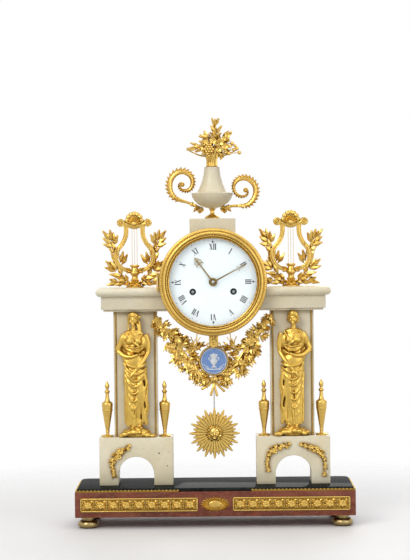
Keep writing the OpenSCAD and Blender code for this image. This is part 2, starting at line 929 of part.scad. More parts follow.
// Gilt frame of the medallion, with its hanger above and the knot and its tassels below
module medallion_ring() {
    ring_w = 2;
    stem_top = dial_z - drum_r - seat_gap;
    tassels = 6;
    color("#d4aa3c") {
        translate([0, medallion_y, medallion_z])
            rotate([90, 0, 0])
                rotate_extrude($fn = round_fn)
                    translate([medallion_r - ring_w, -2])
                        square([ring_w, 5]);
        translate([0, medallion_y, medallion_z + medallion_r - 0.5])
            cylinder(h = stem_top - medallion_z - medallion_r + 0.5, r = 2, $fn = round_fn);
        translate([-7, medallion_y - 3, medallion_z + medallion_r - 0.5])
            cube([14, 5, 11]);
        translate([0, knot_y + 1, knot_z])
            rotate([0, 90, 0])
                cylinder(h = 16, r = 5.5, center = true, $fn = round_fn);
        translate([-4, medallion_y - 2, knot_z])
            cube([8, 5, medallion_z - medallion_r - knot_z + 1]);
        for (i = [0:tassels - 1]) {
            l = i == 2 || i == 3 ? 25 : 27;
            tip = polar(l, 270 + (i - (tassels - 1) / 2) * 24);
            limb([0, knot_y - 1, knot_z], 1.6, [tip[0], knot_y - 1, knot_z + tip[1]], 2, 8);
        }
    }
}

module medallion_plaque() {
    disc_r = medallion_r - 2 - 0.1;
    color("#7a9bd6")
        translate([0, medallion_y + 1.5, medallion_z])
            rotate([90, 0, 0])
                cylinder(h = 3, r = disc_r, $fn = round_fn);
}

// Figures: one for each pier, her head towards the entablature

module figure(side, mirror_x) {
    x = side * pedestal_x;
    y = pier_front - 9;
    z0 = pier_z;
    k = (figure_h + rock_h) / 180;
    color("#d4aa3c")
        translate([x, y, z0])
            scale(k)
                mirror([mirror_x, 0, 0]) {
                    limb([0, 0, 168], 8, [0, 0.5, 172], 7.4, 12);
                    limb([-4, 1, 176], 4, [4, 1, 176], 4, 8);
                    limb([0, 1, 152], 4.4, [0, 0.5, 163], 4.2, 8);
                    limb([-13, 1, 147], 5.2, [13, 1, 147], 5.2, 8);
                    hull() {
                        translate([-10, 1, 146])
                            sphere(5.5, $fn = 8);
                        translate([10, 1, 146])
                            sphere(5.5, $fn = 8);
                        translate([-7, 1, 118])
                            sphere(7, $fn = 8);
                        translate([7, 1, 118])
                            sphere(7, $fn = 8);
                    }
                    for (s = [-1, 1])
                        translate([s * 6, -4.4, 136])
                            sphere(5, $fn = 8);
                    limb([-16.5, 1, 145], 4, [-21, 0, 117], 3.4, 7);
                    limb([-21, 0, 117], 3.4, [4, -8.4, 112], 2.8, 7);
                    limb([16.5, 1, 145], 4, [20, 0, 118], 3.5, 7);
                    limb([20, 0, 118], 3.4, [0, -8.6, 90], 2.8, 7);
                    hull() {
                        translate([-8, 0.5, 112])
                            sphere(8, $fn = 10);
                        translate([8, 0.5, 112])
                            sphere(8, $fn = 8);
                        translate([-8.5, 0.5, 92])
                            sphere(8.5, $fn = 8);
                        translate([8.5, 0.5, 92])
                            sphere(8.5, $fn = 8);
                    }
                    hull() {
                        translate([-8.5, 0.5, 92])
                            sphere(8.5, $fn = 8);
                        translate([8.5, 0.5, 92])
                            sphere(8.5, $fn = 8);
                        translate([-7, 1.5, 14])
                            sphere(7, $fn = 8);
                        translate([5, 1.5, 14])
                            sphere(7, $fn = 8);
                    }
                    for (i = [0:6]) {
                        fx = -11 + i * 3.6;
                        limb([fx * 1.15, -5.6, 96 - abs(i - 3) * 3], 2, [fx * 0.85, -4.4, 16], 2.3, 5);
                    }
                    limb([4, -6, 88], 5.2, [5, -8.2, 62], 4.6, 7);
                    limb([5, -8.2, 62], 4.6, [4, -5, 16], 3.4, 7);
                    for (s = [-1, 1])
                        limb([s * 4, -3, 12], 3, [s * 6, -9, 9.5], 2.4, 6);
                    for (i = [0:7]) {
                        rx = -22 + i * 6.2;
                        limb([rx, 1, 3.4], 3.4, [rx + 3, -8 + (i % 3), 4.2 + (i % 2) * 1.4], 4, 6);
                    }
                }
}

module caryatid_left() {
    figure(-1, 0);
}

module caryatid_right() {
    figure(1, 1);
}

// Movement case

module drum() {
    slot_w = 2 * (drum_r + pivot_rise) * sin(swing_angle) + rod_d + 4;
    slot_l = rod_d + 3.2;
    knuckle_x = -(bezel_r + knuckle_r + 0.4);
    door_x = drum_r + 1 + knuckle_r + 0.4;
    color("#c99c34")
        difference() {
            union() {
                turned_case() {
                    translate([drum_r - drum_wall, drum_front])
                        square([drum_wall, drum_d]);
                    translate([dial_r + seat_gap, drum_front - flange_t])
                        square([flange_r - dial_r - seat_gap, flange_t]);
                    translate([web_r, drum_front])
                        square([drum_r - web_r, web_t]);
                }
                translate([knuckle_x, drum_front - flange_t - 0.2, dial_z - 6])
                    cylinder(h = 12, r = knuckle_r, $fn = round_fn);
                translate([knuckle_x, drum_front - flange_t, dial_z - 6])
                    cube([-knuckle_x - flange_r + 2, flange_t, 12]);
                translate([door_x, drum_back + 0.4, dial_z - 6])
                    cylinder(h = 12, r = knuckle_r, $fn = round_fn);
                translate([drum_r - 0.6, drum_back - 3, dial_z - 6])
                    cube([door_x - drum_r + 0.6, 3, 12]);
            }
            translate([-slot_w / 2, pendulum_y - slot_l / 2, dial_z - drum_r - 1])
                cube([slot_w, slot_l, 8]);
            translate([knuckle_x, drum_front - flange_t - 0.2, dial_z - 7])
                cylinder(h = 14, r = 0.8, $fn = round_fn);
            translate([door_x, drum_back + 0.4, dial_z - 7])
                cylinder(h = 14, r = 0.8, $fn = round_fn);
        }
}

module dial() {
    color("#eef2f6")
        difference() {
            y_rod([0, 0], dial_front, dial_t, dial_r);
            y_rod([0, 0], dial_front - 1, dial_t + 2, hour_pipe_r + 0.8);
            y_rod(going_barrel_at, dial_front - 1, dial_t + 2, winding_hole_r);
            y_rod(strike_barrel_at, dial_front - 1, dial_t + 2, winding_hole_r);
        }
}

bezel_back = drum_front - flange_t - 0.3;
glass_y = bezel_back - bezel_d + 3.4;
glass_t = 1.6;

module bezel() {
    knuckle_x = -(bezel_r + knuckle_r + 0.4);
    hinge_y = drum_front - flange_t - 0.2;
    w = bezel_r - bezel_opening_r;
    d = bezel_d;
    color("#d4aa3c")
        difference() {
            union() {
                turned_case()
                    translate([bezel_opening_r, bezel_back])
                        polygon([
                            [4, 0], [w, 0], [w, -d * 0.26], [w * 0.93, -d * 0.42], [w * 0.86, -d * 0.45],
                            [w * 0.84, -d * 0.66], [w * 0.74, -d * 0.8], [w * 0.66, -d * 0.82],
                            [w * 0.62, -d * 0.96], [w * 0.52, -d], [w * 0.42, -d * 0.97],
                            [w * 0.38, -d * 0.84], [w * 0.3, -d * 0.86], [w * 0.22, -d * 0.8],
                            [w * 0.16, -d * 0.72], [w * 0.06, -d * 0.74], [0, -d * 0.68],
                            [0, glass_y + glass_t - bezel_back - 2.2], [2, glass_y - bezel_back],
                            [4, glass_y - bezel_back]
                        ]);
                for (s = [-1, 1])
                    translate([knuckle_x, hinge_y, dial_z + s * 9.2 - 3])
                        cylinder(h = 6, r = knuckle_r, $fn = round_fn);
                for (s = [-1, 1])
                    translate([knuckle_x, bezel_back - 3, dial_z + s * 9.2 - 3])
                        cube([-knuckle_x - bezel_r + 3, 2.6, 6]);
            }
            translate([knuckle_x, hinge_y, dial_z - 14])
                cylinder(h = 28, r = 0.8, $fn = round_fn);
            y_rod([0, 0], glass_y, 20, bezel_opening_r + 4);
        }
}

module bezel_glass() {
    color("#dfe9ee", 0.35)
        y_rod([0, 0], glass_y, glass_t, bezel_opening_r + 4 - 0.02);
}

module hinge_pins() {
    color("#b8913a")
        for (p = [
            [-(bezel_r + knuckle_r + 0.4), drum_front - flange_t - 0.2],
            [drum_r + 1 + knuckle_r + 0.4, drum_back + 0.4]
        ])
            translate([p[0], p[1], dial_z - 13]) {
                cylinder(h = 26, r = 0.8 - running_gap, $fn = round_fn);
                translate([0, 0, 25.6])
                    cylinder(h = 1.4, r = 1.4, $fn = round_fn);
                translate([0, 0, -0.8])
                    cylinder(h = 1.2, r = 1.4, $fn = round_fn);
            }
}

module rear_door() {
    door_r = drum_r + 1;
    door_y = drum_back + 0.3;
    door_x = door_r + knuckle_r + 0.4;
    color("#c99c34")
        difference() {
            union() {
                turned_case() {
                    translate([0, door_y])
                        square([door_r, 1.6]);
                    translate([door_r - 6, door_y])
                        square([6, 3]);
                }
                for (s = [-1, 1]) {
                    translate([door_x, drum_back + 0.4, dial_z + s * 9.2 - 3])
                        cylinder(h = 6, r = knuckle_r, $fn = round_fn);
                    translate([door_r - 4, door_y, dial_z + s * 9.2 - 3])
                        cube([door_x - door_r + 4, 2, 6]);
                }
                y_rod([-door_r + 6, 0], door_y + 1, 7, 2.6);
            }
            for (ring = [[8, 14], [16, 28], [24, 42]], i = [0:ring[0] - 1])
                y_rod(polar(ring[1], i * 360 / ring[0]), door_y - 1, 4, 2.6);
            translate([door_x, drum_back + 0.4, dial_z - 14])
                cylinder(h = 28, r = 0.8, $fn = round_fn);
        }
}

// Wheels and pinions: teeth stand at turn and on from there

function wheel_points(n, m, turn) =
    let (r = n * m / 2, step = 360 / n)
    [
        for (i = [0:n - 1], c = [[-0.25, -1.15], [-0.1, 0.8], [0.1, 0.8], [0.25, -1.15]])
            polar(r + c[1] * m, turn + (i + c[0]) * step)
    ];
function pinion_points(n, m, turn) =
    let (r = n * m / 2, step = 360 / n)
    [
        for (i = [0:n - 1], c = [[-0.18, -1.2], [-0.18, 0], [-0.07, 0.7], [0.07, 0.7], [0.18, 0], [0.18, -1.2]])
            polar(r + c[1] * m, turn + (i + c[0]) * step)
    ];

module at_arbor(at, y, t) {
    front_view(y, t)
        translate([at[0], dial_z + at[1]])
            children();
}

// The windows between a wheel's arms
module crossing_windows(r_in, r_out, arms) {
    difference() {
        circle(r_out, $fn = round_fn);
        circle(r_in, $fn = round_fn);
        for (i = [0:arms - 1])
            rotate(i * 360 / arms)
                translate([0, -0.8])
                    square([r_out + 1, 1.6]);
    }
}

module wheel(at, y, teeth, m, turn) {
    rim = teeth * m / 2 - 1.15 * m - 1.4;
    at_arbor(at, y, wheel_t)
        difference() {
            polygon(wheel_points(teeth, m, turn));
            crossing_windows(3.4, rim, 4);
        }
}

module pinion(at, y, t, leaves, m, turn) {
    at_arbor(at, y, t)
        polygon(pinion_points(leaves, m, turn));
}

// An arbor between the plates, with a pivot in each
module arbor(at) {
    end_shake = 0.2;
    y_rod(at, front_gap_y + end_shake, plate_gap - 2 * end_shake, arbor_r);
    y_rod(at, front_plate_y + 0.3, plate_t + plate_gap + plate_t - 0.6, pivot_r);
}

great_y = back_plate_y - 7;
second_y = back_plate_y - 3.5;
centre_wheel_y = front_gap_y + 0.8;
third_wheel_y = front_gap_y + 10;
escape_y = back_plate_y - 4;
pin_wheel_y = front_gap_y + 12;

module front_plate() {
    color("#c9a24a")
        difference() {
            union() {
                y_rod([0, 0], front_plate_y, plate_t, plate_r);
                for (a = [60, 180, 300])
                    y_rod(polar(post_ring_r, a), drum_front + web_t, front_plate_y - drum_front - web_t + 1, 2);
                y_rod(minute_wheel_at, front_plate_y - 6, 6, pivot_r);
            }
            pivot_holes(front_plate_y);
            y_rod(centre_at, front_plate_y - 1, plate_t + 2, arbor_r + running_gap);
        }
}

module pivot_holes(y) {
    for (at = [going_second_at, third_at, escape_at, strike_second_at, pin_at, fly_at])
        y_rod(at, y - 1, plate_t + 2, pivot_r + running_gap);
    for (at = [anchor_at, hammer_at])
        y_rod(at, y - 1, plate_t + 2, arbor_r + running_gap);
    for (at = [going_barrel_at, strike_barrel_at])
        y_rod(at, y - 1, plate_t + 2, winding_r + running_gap);
}

pillar_angles = [35, 115, 240, 300];
pillar_at_r = plate_r - 5;

module back_plate() {
    color("#c9a24a")
        difference() {
            union() {
                y_rod([0, 0], back_plate_y, plate_t, plate_r);
                for (a = pillar_angles)
                    y_rod(polar(pillar_at_r, a), front_gap_y, plate_gap + 1, 2.5);
                suspension_cock();
                bell_stand();
            }
            pivot_holes(back_plate_y);
            y_rod(centre_at, back_plate_y - 1, plate_t + 2, pivot_r + running_gap);
        }
}

// Bracket with the pin on which the pendulum hangs
module suspension_cock() {
    cheek_x = 6.5;
    back = back_plate_y + plate_t;
    reach = pendulum_y + 4 - back;
    for (s = [-1, 1])
        translate([s * (cheek_x + 1) - 1, back - 0.5, dial_z + pivot_rise - 4])
            cube([2, reach + 0.5, 9]);
    translate([-cheek_x - 2, pendulum_y + 2, dial_z + pivot_rise - 4])
        cube([2 * cheek_x + 4, 2, 9]);
    y_rod(anchor_at, pendulum_y - 1.8, 5, 1);
    y_rod(anchor_at, pendulum_y - 2.2, 0.8, 1.8);
}

bell_y = pendulum_y + 6;
bell_depth = 14;

// Post and arm that carry the bell behind the pendulum
module bell_stand() {
    y_rod([24, 0], back_plate_y + plate_t - 0.5, pendulum_y + 4.5 - back_plate_y - plate_t + 0.5, 2.4);
    translate([0, pendulum_y + 3, dial_z - 2])
        cube([24, 1.5, 4]);
    y_rod([0, 0], pendulum_y + 3, bell_depth + bell_y - pendulum_y - 2, 1.5);
}

module bell() {
    wall = 1.2;
    color("#c8b070")
        turned_case()
            polygon(concat(
                [for (i = [0:12]) [bell_r * cos(i * 7.3), bell_y + bell_depth * sin(i * 7.3)]],
                [[1.55, bell_y + bell_depth]],
                [[1.55, bell_y + bell_depth - wall]],
                [
                    for (i = [12:-1:0])
                        [(bell_r - wall) * cos(i * 7.3), bell_y + (bell_depth - wall) * sin(i * 7.3)]
                ]
            ));
}

module barrel(at, toward) {
    color("#c9a24a")
        difference() {
            union() {
                y_rod(at, front_gap_y + 3.5, great_y - front_gap_y - 3.5 + 0.5, barrel_r);
                at_arbor(at, great_y, wheel_t)
                    polygon(wheel_points(great_teeth, great_m, toward));
            }
            y_rod(at, front_gap_y, plate_gap, winding_r + running_gap);
        }
}

module going_barrel() {
    barrel(going_barrel_at, bearing(going_barrel_at, going_second_at));
}

module strike_barrel() {
    barrel(strike_barrel_at, bearing(strike_barrel_at, strike_second_at));
}

// Arbor with its key square in front and its ratchet wheel on the front plate
module winding_arbor(at) {
    color("#8d8f92") {
        y_rod(at, front_plate_y - 1.6, back_plate_y + plate_t - front_plate_y + 1.6, winding_r);
        at_arbor(at, front_plate_y - 1.6, 1.3)
            polygon([for (i = [0:23]) polar(i % 2 == 0 ? 6 : 5.1, i * 15 + (i % 2 == 0 ? 0 : -6))]);
        at_arbor(at, dial_front - 1, front_plate_y - dial_front)
            square(square_w, center = true);
    }
}

module winding_arbor_going() {
    winding_arbor(going_barrel_at);
}

module winding_arbor_strike() {
    winding_arbor(strike_barrel_at);
}

module going_second_wheel() {
    to_barrel = bearing(going_second_at, going_barrel_at);
    color("#c9a24a") {
        arbor(going_second_at);
        pinion(
            going_second_at, great_y - 0.4, wheel_t + 0.8,
            second_leaves, great_m, to_barrel + 180 / second_leaves
        );
        wheel(going_second_at, second_y, going_second_teeth, wheel_m, bearing(going_second_at, centre_at));
    }
}

module centre_wheel() {
    to_second = bearing(centre_at, going_second_at);
    cannon_tip = dial_front - 6;
    color("#c9a24a") {
        y_rod(centre_at, front_gap_y + 0.2, plate_gap - 0.4, arbor_r);
        y_rod(centre_at, cannon_tip, front_gap_y + 1 - cannon_tip, arbor_r);
        y_rod(centre_at, back_plate_y - 1, plate_t + 0.7, pivot_r);
        y_rod(centre_at, cannon_tip, front_plate_y - 0.8 - cannon_tip, cannon_r);
        pinion(
            centre_at, second_y - 0.3, wheel_t + 0.6,
            centre_leaves, wheel_m, to_second + 180 / centre_leaves
        );
        wheel(centre_at, centre_wheel_y, centre_teeth, wheel_m, bearing(centre_at, third_at));
        pinion(
            centre_at, front_plate_y - 0.8 - wheel_t, wheel_t, cannon_teeth, cannon_m,
            bearing(centre_at, minute_wheel_at)
        );
    }
}

module third_wheel() {
    to_centre = bearing(third_at, centre_at);
    color("#c9a24a") {
        arbor(third_at);
        pinion(
            third_at, centre_wheel_y - 0.3, wheel_t + 0.6,
            third_leaves, wheel_m, to_centre + 180 / third_leaves
        );
        wheel(third_at, third_wheel_y, third_teeth, third_m, bearing(third_at, escape_at));
    }
}

module escape_wheel() {
    to_third = bearing(escape_at, third_at);
    color("#c9a24a") {
        arbor(escape_at);
        pinion(
            escape_at, third_wheel_y - 0.3, wheel_t + 0.6,
            escape_leaves, third_m, to_third + 180 / escape_leaves
        );
        at_arbor(escape_at, escape_y, 1.2)
            difference() {
                polygon([
                    for (i = [0:escape_teeth - 1], c = [[0, 1], [0.3, 0.98], [0.75, 0.8]])
                        polar(escape_r * c[1], (i + c[0]) * 360 / escape_teeth)
                ]);
                crossing_windows(2.6, escape_r * 0.8 - 1.2, 4);
            }
    }
}

// Anchor with its two pallets in front of the back plate, and the crutch behind it
module pallet_anchor() {
    crutch_y = back_plate_y + plate_t + 2;
    crutch_l = 26;
    fork_gap = rod_r + 0.15;
    back = back_plate_y + plate_t + 3.8;
    color("#8d8f92") {
        y_rod(anchor_at, front_gap_y + 0.2, back - front_gap_y - 0.2, arbor_r);
        y_rod(anchor_at, front_plate_y + 0.3, 3, pivot_r);
        at_arbor(anchor_at, escape_y - 0.2, 1.6)
            polygon([
                [0, 2.4], [5, 1.4], [9.2, -2.6], [9.6, -6.6], [7.6, -7.3], [7.4, -4], [4, -1.4], [0, -2.2],
                [-4, -1.4], [-7.4, -4], [-7.6, -7.3], [-9.6, -6.6], [-9.2, -2.6], [-5, 1.4]
            ]);
        translate([-1.2, crutch_y, dial_z + pivot_rise - crutch_l])
            cube([2.4, 1.6, crutch_l + 2]);
        for (s = [-1, 1])
            translate([s * (fork_gap + 0.7) - 0.7, crutch_y, dial_z + pivot_rise - crutch_l])
                cube([1.4, pendulum_y + 2 - crutch_y, 3]);
        translate([-fork_gap - 1.4, crutch_y, dial_z + pivot_rise - crutch_l])
            cube([2 * fork_gap + 2.8, 1.6, 3]);
    }
}

module minute_wheel() {
    y = front_plate_y - 0.8 - wheel_t;
    to_centre = bearing(minute_wheel_at, centre_at);
    color("#c9a24a")
        difference() {
            union() {
                wheel(minute_wheel_at, y, minute_teeth, cannon_m, to_centre + 180 / minute_teeth);
                pinion(minute_wheel_at, y - 3, 3.5, minute_leaves, hour_m, to_centre);
            }
            y_rod(minute_wheel_at, y - 4, 8, pivot_r + running_gap);
        }
}

hour_wheel_y = front_plate_y - 0.8 - wheel_t - 2.6;

module hour_wheel() {
    to_minute = bearing(centre_at, minute_wheel_at);
    color("#c9a24a")
        difference() {
            union() {
                at_arbor(centre_at, hour_wheel_y, wheel_t)
                    difference() {
                        polygon(wheel_points(hour_teeth, hour_m, to_minute + 180 / hour_teeth));
                        crossing_windows(4.6, hour_teeth * hour_m / 2 - 2, 4);
                    }
                y_rod(centre_at, dial_front - 3, hour_wheel_y - dial_front + 3.5, hour_pipe_r);
            }
            y_rod(centre_at, dial_front - 4, 30, cannon_r + running_gap);
        }
}

// A pierced hand: its boss, its shaft and a leaf-shaped head with a window
module hand(l, angle, y, boss_r, bore_r, head_w) {
    hand_t = 0.8;
    window = head_w * 0.34;
    translate([0, 0, dial_z])
        rotate([0, angle, 0])
            difference() {
                union() {
                    front_view(y, hand_t)
                        circle(boss_r, $fn = round_fn);
                    front_view(y, hand_t)
                        polygon([
                            [-1.3, 0], [-0.9, l * 0.7], [-head_w * 0.7, l * 0.72], [-head_w * 0.5, l * 0.76],
                            [-head_w, l * 0.8], [-head_w * 0.5, l * 0.88], [0, l], [head_w * 0.5, l * 0.88],
                            [head_w, l * 0.8], [head_w * 0.5, l * 0.76], [head_w * 0.7, l * 0.72],
                            [0.9, l * 0.7], [1.3, 0]
                        ]);
                }
                front_view(y - 1, hand_t + 2)
                    circle(bore_r, $fn = round_fn);
                front_view(y - 1, hand_t + 2)
                    translate([0, l * 0.8])
                        circle(window, $fn = 24);
            }
}

module minute_hand() {
    color("#d4aa3c")
        hand(minute_hand_l, minute_hand_angle, dial_front - 6, 4.4, cannon_r + 0.02, 2.6);
}

module hour_hand() {
    color("#d4aa3c")
        hand(hour_hand_l, hour_hand_angle, dial_front - 3, 5.7, hour_pipe_r + 0.02, 4.2);
}

module strike_second_wheel() {
    to_barrel = bearing(strike_second_at, strike_barrel_at);
    color("#c9a24a") {
        arbor(strike_second_at);
        pinion(
            strike_second_at, great_y - 0.4, wheel_t + 0.8,
            second_leaves, great_m, to_barrel + 180 / second_leaves
        );
        wheel(strike_second_at, second_y, strike_second_teeth, wheel_m, bearing(strike_second_at, pin_at));
    }
}

module strike_pin_wheel() {
    to_second = bearing(pin_at, strike_second_at);
    color("#c9a24a") {
        arbor(pin_at);
        pinion(
            pin_at, second_y - 0.3, wheel_t + 0.6,
            pin_leaves, wheel_m, to_second + 180 / pin_leaves
        );
        wheel(pin_at, pin_wheel_y, pin_teeth, pin_m, bearing(pin_at, fly_at));
        for (i = [0:7])
            y_rod(pin_at + polar(7.3, i * 45 + 22), pin_wheel_y, 3.4, 0.5);
    }
}

module strike_fly() {
    to_pin = bearing(fly_at, pin_at);
    vane_w = 13;
    color("#c9a24a") {
        arbor(fly_at);
        pinion(
            fly_at, pin_wheel_y - 0.3, wheel_t + 0.6,
            fly_leaves, pin_m, to_pin + 180 / fly_leaves
        );
        at_arbor(fly_at, front_gap_y + 2, 7)
            square([vane_w, 0.8], center = true);
    }
}

// Hammer: its tail reaches towards the pin wheel, and its head stands just off the bell
module strike_hammer() {
    tail = hammer_at + polar(6.6, bearing(hammer_at, pin_at));
    head = polar(bell_r + 4, 164.5);
    arm_y = bell_y + 1;
    color("#8d8f92") {
        y_rod(hammer_at, front_gap_y + 0.2, arm_y + 2 - front_gap_y - 0.2, arbor_r);
        y_rod(hammer_at, front_plate_y + 0.3, 3, pivot_r);
        front_view(pin_wheel_y + wheel_t + 0.4, 1.4)
            translate([0, dial_z])
                polygon(band([hammer_at, tail], [1.4, 0.9]));
        front_view(arm_y, 1.6)
            translate([0, dial_z])
                polygon(band([hammer_at + [0, 2], hammer_at + [-1.6, -8], head], [1.3, 1, 1]));
        y_rod(head, arm_y - 1, 4, 3);
    }
}

// Pendulum

module pendulum_rod() {
    hook_r = 3;
    pivot_z = dial_z + pivot_rise;
    rod_end = sun_z + 8;
    color("#c8c3b4")
        difference() {
            union() {
                y_rod(anchor_at, pendulum_y - 1, 2, hook_r);
                translate([0, pendulum_y, rod_end])
                    cylinder(h = pivot_z - hook_r + 0.6 - rod_end, r = rod_r, $fn = round_fn);
            }
            y_rod(anchor_at, pendulum_y - 2, 4, 1 + running_gap);
        }
}

// Sunburst with a round mask, its rays ridged and of unlike lengths
module pendulum_sun() {
    disc_r = sun_r * 0.42;
    color("#cfa23a")
        translate([0, pendulum_y, sun_z])
            difference() {
                union() {
                    rotate([90, 0, 0])
                        cylinder(h = 3, r = disc_r, center = true, $fn = 24);
                    translate([0, -1.5, 0])
                        limb([0, 0, 2], 7.5, [0, 0, -2.5], 6.5, 12);
                    translate([0, -8.6, -0.6])
                        sphere(1.4, $fn = 8);
                    for (i = [0:sun_rays - 1]) {
                        a = 90 + i * 360 / sun_rays;
                        l = sun_r * (i % 2 == 0 ? 0.96 : 0.88 + 0.06 * sin(i * 77));
                        placed_leaf(0, -0.6, 0, a, l, 9, 6);
                        placed_leaf(0, 0, 0, a + 180 / sun_rays, sun_r * 0.72, 7, 4);
                    }
                }
                translate([0, 0, 8])
                    cylinder(h = sun_r, r = rod_r + 0.02, $fn = 16);
            }
}

base_block();
base_top_slab();
base_bead_trim();
base_plaques();
feet_left();
feet_right();
pedestal_left();
pedestal_right();
pedestal_sprays();
pier_left();
pier_right();
pier_bead_strips();
caryatid_left();
caryatid_right();
urn_finials();
entablature_left();
entablature_right();
lyre_left();
lyre_right();
lyre_strings();
laurel_left();
laurel_right();
crown_block();
vase_foot();
vase_body();
scroll_handle_left();
scroll_handle_right();
bouquet();
garland_left();
garland_right();
medallion_ring();
medallion_plaque();
drum();
dial();
bezel();
bezel_glass();
hinge_pins();
rear_door();
front_plate();
back_plate();
going_barrel();
strike_barrel();
winding_arbor_going();
winding_arbor_strike();
going_second_wheel();
centre_wheel();
third_wheel();
escape_wheel();
pallet_anchor();
minute_wheel();
hour_wheel();
minute_hand();
hour_hand();
strike_second_wheel();
strike_pin_wheel();
strike_fly();
strike_hammer();
bell();
pendulum_rod();
pendulum_sun();
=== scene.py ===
import json
import math
import random

import bpy
from mathutils import Matrix, Vector

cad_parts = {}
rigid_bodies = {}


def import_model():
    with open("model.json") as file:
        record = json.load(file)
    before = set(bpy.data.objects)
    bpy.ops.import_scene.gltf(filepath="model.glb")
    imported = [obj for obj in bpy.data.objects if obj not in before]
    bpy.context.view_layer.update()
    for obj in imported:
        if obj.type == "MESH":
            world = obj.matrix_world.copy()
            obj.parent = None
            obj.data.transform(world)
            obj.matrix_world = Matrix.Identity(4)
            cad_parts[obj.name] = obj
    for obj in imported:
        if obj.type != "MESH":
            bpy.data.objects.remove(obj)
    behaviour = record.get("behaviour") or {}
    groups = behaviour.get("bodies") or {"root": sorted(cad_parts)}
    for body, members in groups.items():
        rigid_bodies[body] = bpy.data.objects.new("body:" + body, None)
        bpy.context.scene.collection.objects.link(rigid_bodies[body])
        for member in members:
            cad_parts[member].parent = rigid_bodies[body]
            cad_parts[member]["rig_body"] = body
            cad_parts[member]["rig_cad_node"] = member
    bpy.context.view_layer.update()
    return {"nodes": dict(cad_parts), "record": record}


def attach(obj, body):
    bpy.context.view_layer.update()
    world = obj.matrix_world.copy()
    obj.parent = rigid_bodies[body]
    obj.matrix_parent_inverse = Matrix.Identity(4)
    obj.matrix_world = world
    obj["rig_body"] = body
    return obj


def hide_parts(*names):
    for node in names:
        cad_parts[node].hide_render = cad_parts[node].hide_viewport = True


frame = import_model()
nodes = frame["nodes"]
mm = 0.001
dialZ = 350.0  # height of the dial's middle, in millimetres
pierX = 113.3  # from the middle of the clock to the middle of a pier
print("frame loaded")

# Camera at the photograph's angle

cameraSet = {"at": (0, -2862, 430), "aimAt": (-11.6, 0, 352), "lens": 127.0, "roll": 0.6}


def makeCamera(s):
    bpy.ops.object.camera_add(location=Vector(s["at"]) * mm)
    camera = bpy.context.object
    look = (Vector(s["aimAt"]) - Vector(s["at"])).to_track_quat("-Z", "Y")
    camera.rotation_euler = (look.to_matrix() @ Matrix.Rotation(math.radians(-s["roll"]), 3, "Z")).to_euler()
    camera.data.lens = s["lens"]
    camera.data.sensor_width = 36
    camera.data.clip_end = 20
    bpy.context.scene.camera = camera


makeCamera(cameraSet)

# Small tools for modelling


def deselect():
    bpy.ops.object.select_all(action="DESELECT")


def only(piece):
    deselect()
    piece.select_set(True)
    bpy.context.view_layer.objects.active = piece
    return piece


def settle(piece):
    only(piece)
    bpy.ops.object.transform_apply(location=True, rotation=True, scale=True)
    return piece


# pick gets a corner's place in millimetres
def shape(piece, pick, *actions):
    only(piece)
    bpy.ops.object.mode_set(mode="EDIT")
    bpy.ops.mesh.select_mode(type="VERT")
    bpy.ops.mesh.select_all(action="DESELECT")
    bpy.ops.object.mode_set(mode="OBJECT")
    for v in piece.data.vertices:
        v.select = bool(pick(v.co / mm))
    bpy.ops.object.mode_set(mode="EDIT")
    for action in actions:
        action()
    bpy.ops.object.mode_set(mode="OBJECT")
    return piece


def shift(x, y, z):
    return lambda: bpy.ops.transform.translate(value=(x * mm, y * mm, z * mm))


def grow(x, y, z, about=(0, 0, 0)):
    return lambda: bpy.ops.transform.resize(value=(x, y, z), center_override=Vector(about) * mm)


def ball(at, size, segments=12, rings=8, turn=(0, 0, 0)):
    deselect()
    bpy.ops.mesh.primitive_uv_sphere_add(
        segments=segments, ring_count=rings, radius=mm, location=Vector(at) * mm, rotation=[math.radians(t) for t in turn]
    )
    bpy.context.object.scale = size if hasattr(size, "__len__") else (size, size, size)
    return settle(bpy.context.object)


def block(at, size, bevel=0.0, steps=2):
    deselect()
    bpy.ops.mesh.primitive_cube_add(size=mm, location=Vector(at) * mm)
    piece = bpy.context.object
    piece.scale = size
    settle(piece)
    if bevel:
        modify(piece, "BEVEL", width=bevel * mm, segments=steps)
    return piece


def modify(piece, kind, **values):
    only(piece)
    modifier = piece.modifiers.new(kind.title(), kind)
    for key, value in values.items():
        setattr(modifier, key, value)
    bpy.ops.object.modifier_apply(modifier=modifier.name)
    return piece


def smoothPath(points, steps):
    points = [Vector(p) for p in points]
    ends = [points[0], *points, points[-1]]
    path = []
    for i in range(len(points) - 1):
        a, b, c, d = ends[i : i + 4]
        for k in range(steps):
            t = k / steps
            path.append(0.5 * (2 * b + (c - a) * t + (2 * a - 5 * b + 4 * c - d) * t * t + (3 * b - a - 3 * c + d) * t**3))
    return path + [points[-1]]


# A rod along points, in millimetres, with a radius for each point or one for all
def rod(points, radii, roundness=1, steps=0, closed=False):
    count = len(points)
    sizes = list(radii) if hasattr(radii, "__len__") else [radii] * count
    if steps:
        path = smoothPath(points, steps)
        sizes = [
            sizes[min(int(i / steps), count - 1)] * (1 - (i % steps) / steps)
            + sizes[min(int(i / steps) + 1, count - 1)] * ((i % steps) / steps)
            for i in range(len(path))
        ]
    else:
        path = [Vector(p) for p in points]
    curve = bpy.data.curves.new("rod", "CURVE")
    curve.dimensions = "3D"
    curve.bevel_depth = mm
    curve.bevel_resolution = roundness
    curve.use_fill_caps = True
    line = curve.splines.new("POLY")
    line.points.add(len(path) - 1)
    for point, place, size in zip(line.points, path, sizes):
        point.co = (*(place * mm), 1)
        point.radius = size
    line.use_cyclic_u = closed
    piece = bpy.data.objects.new("rod", curve)
    bpy.context.collection.objects.link(piece)
    only(piece)
    bpy.ops.object.convert(target="MESH")
    return bpy.context.object


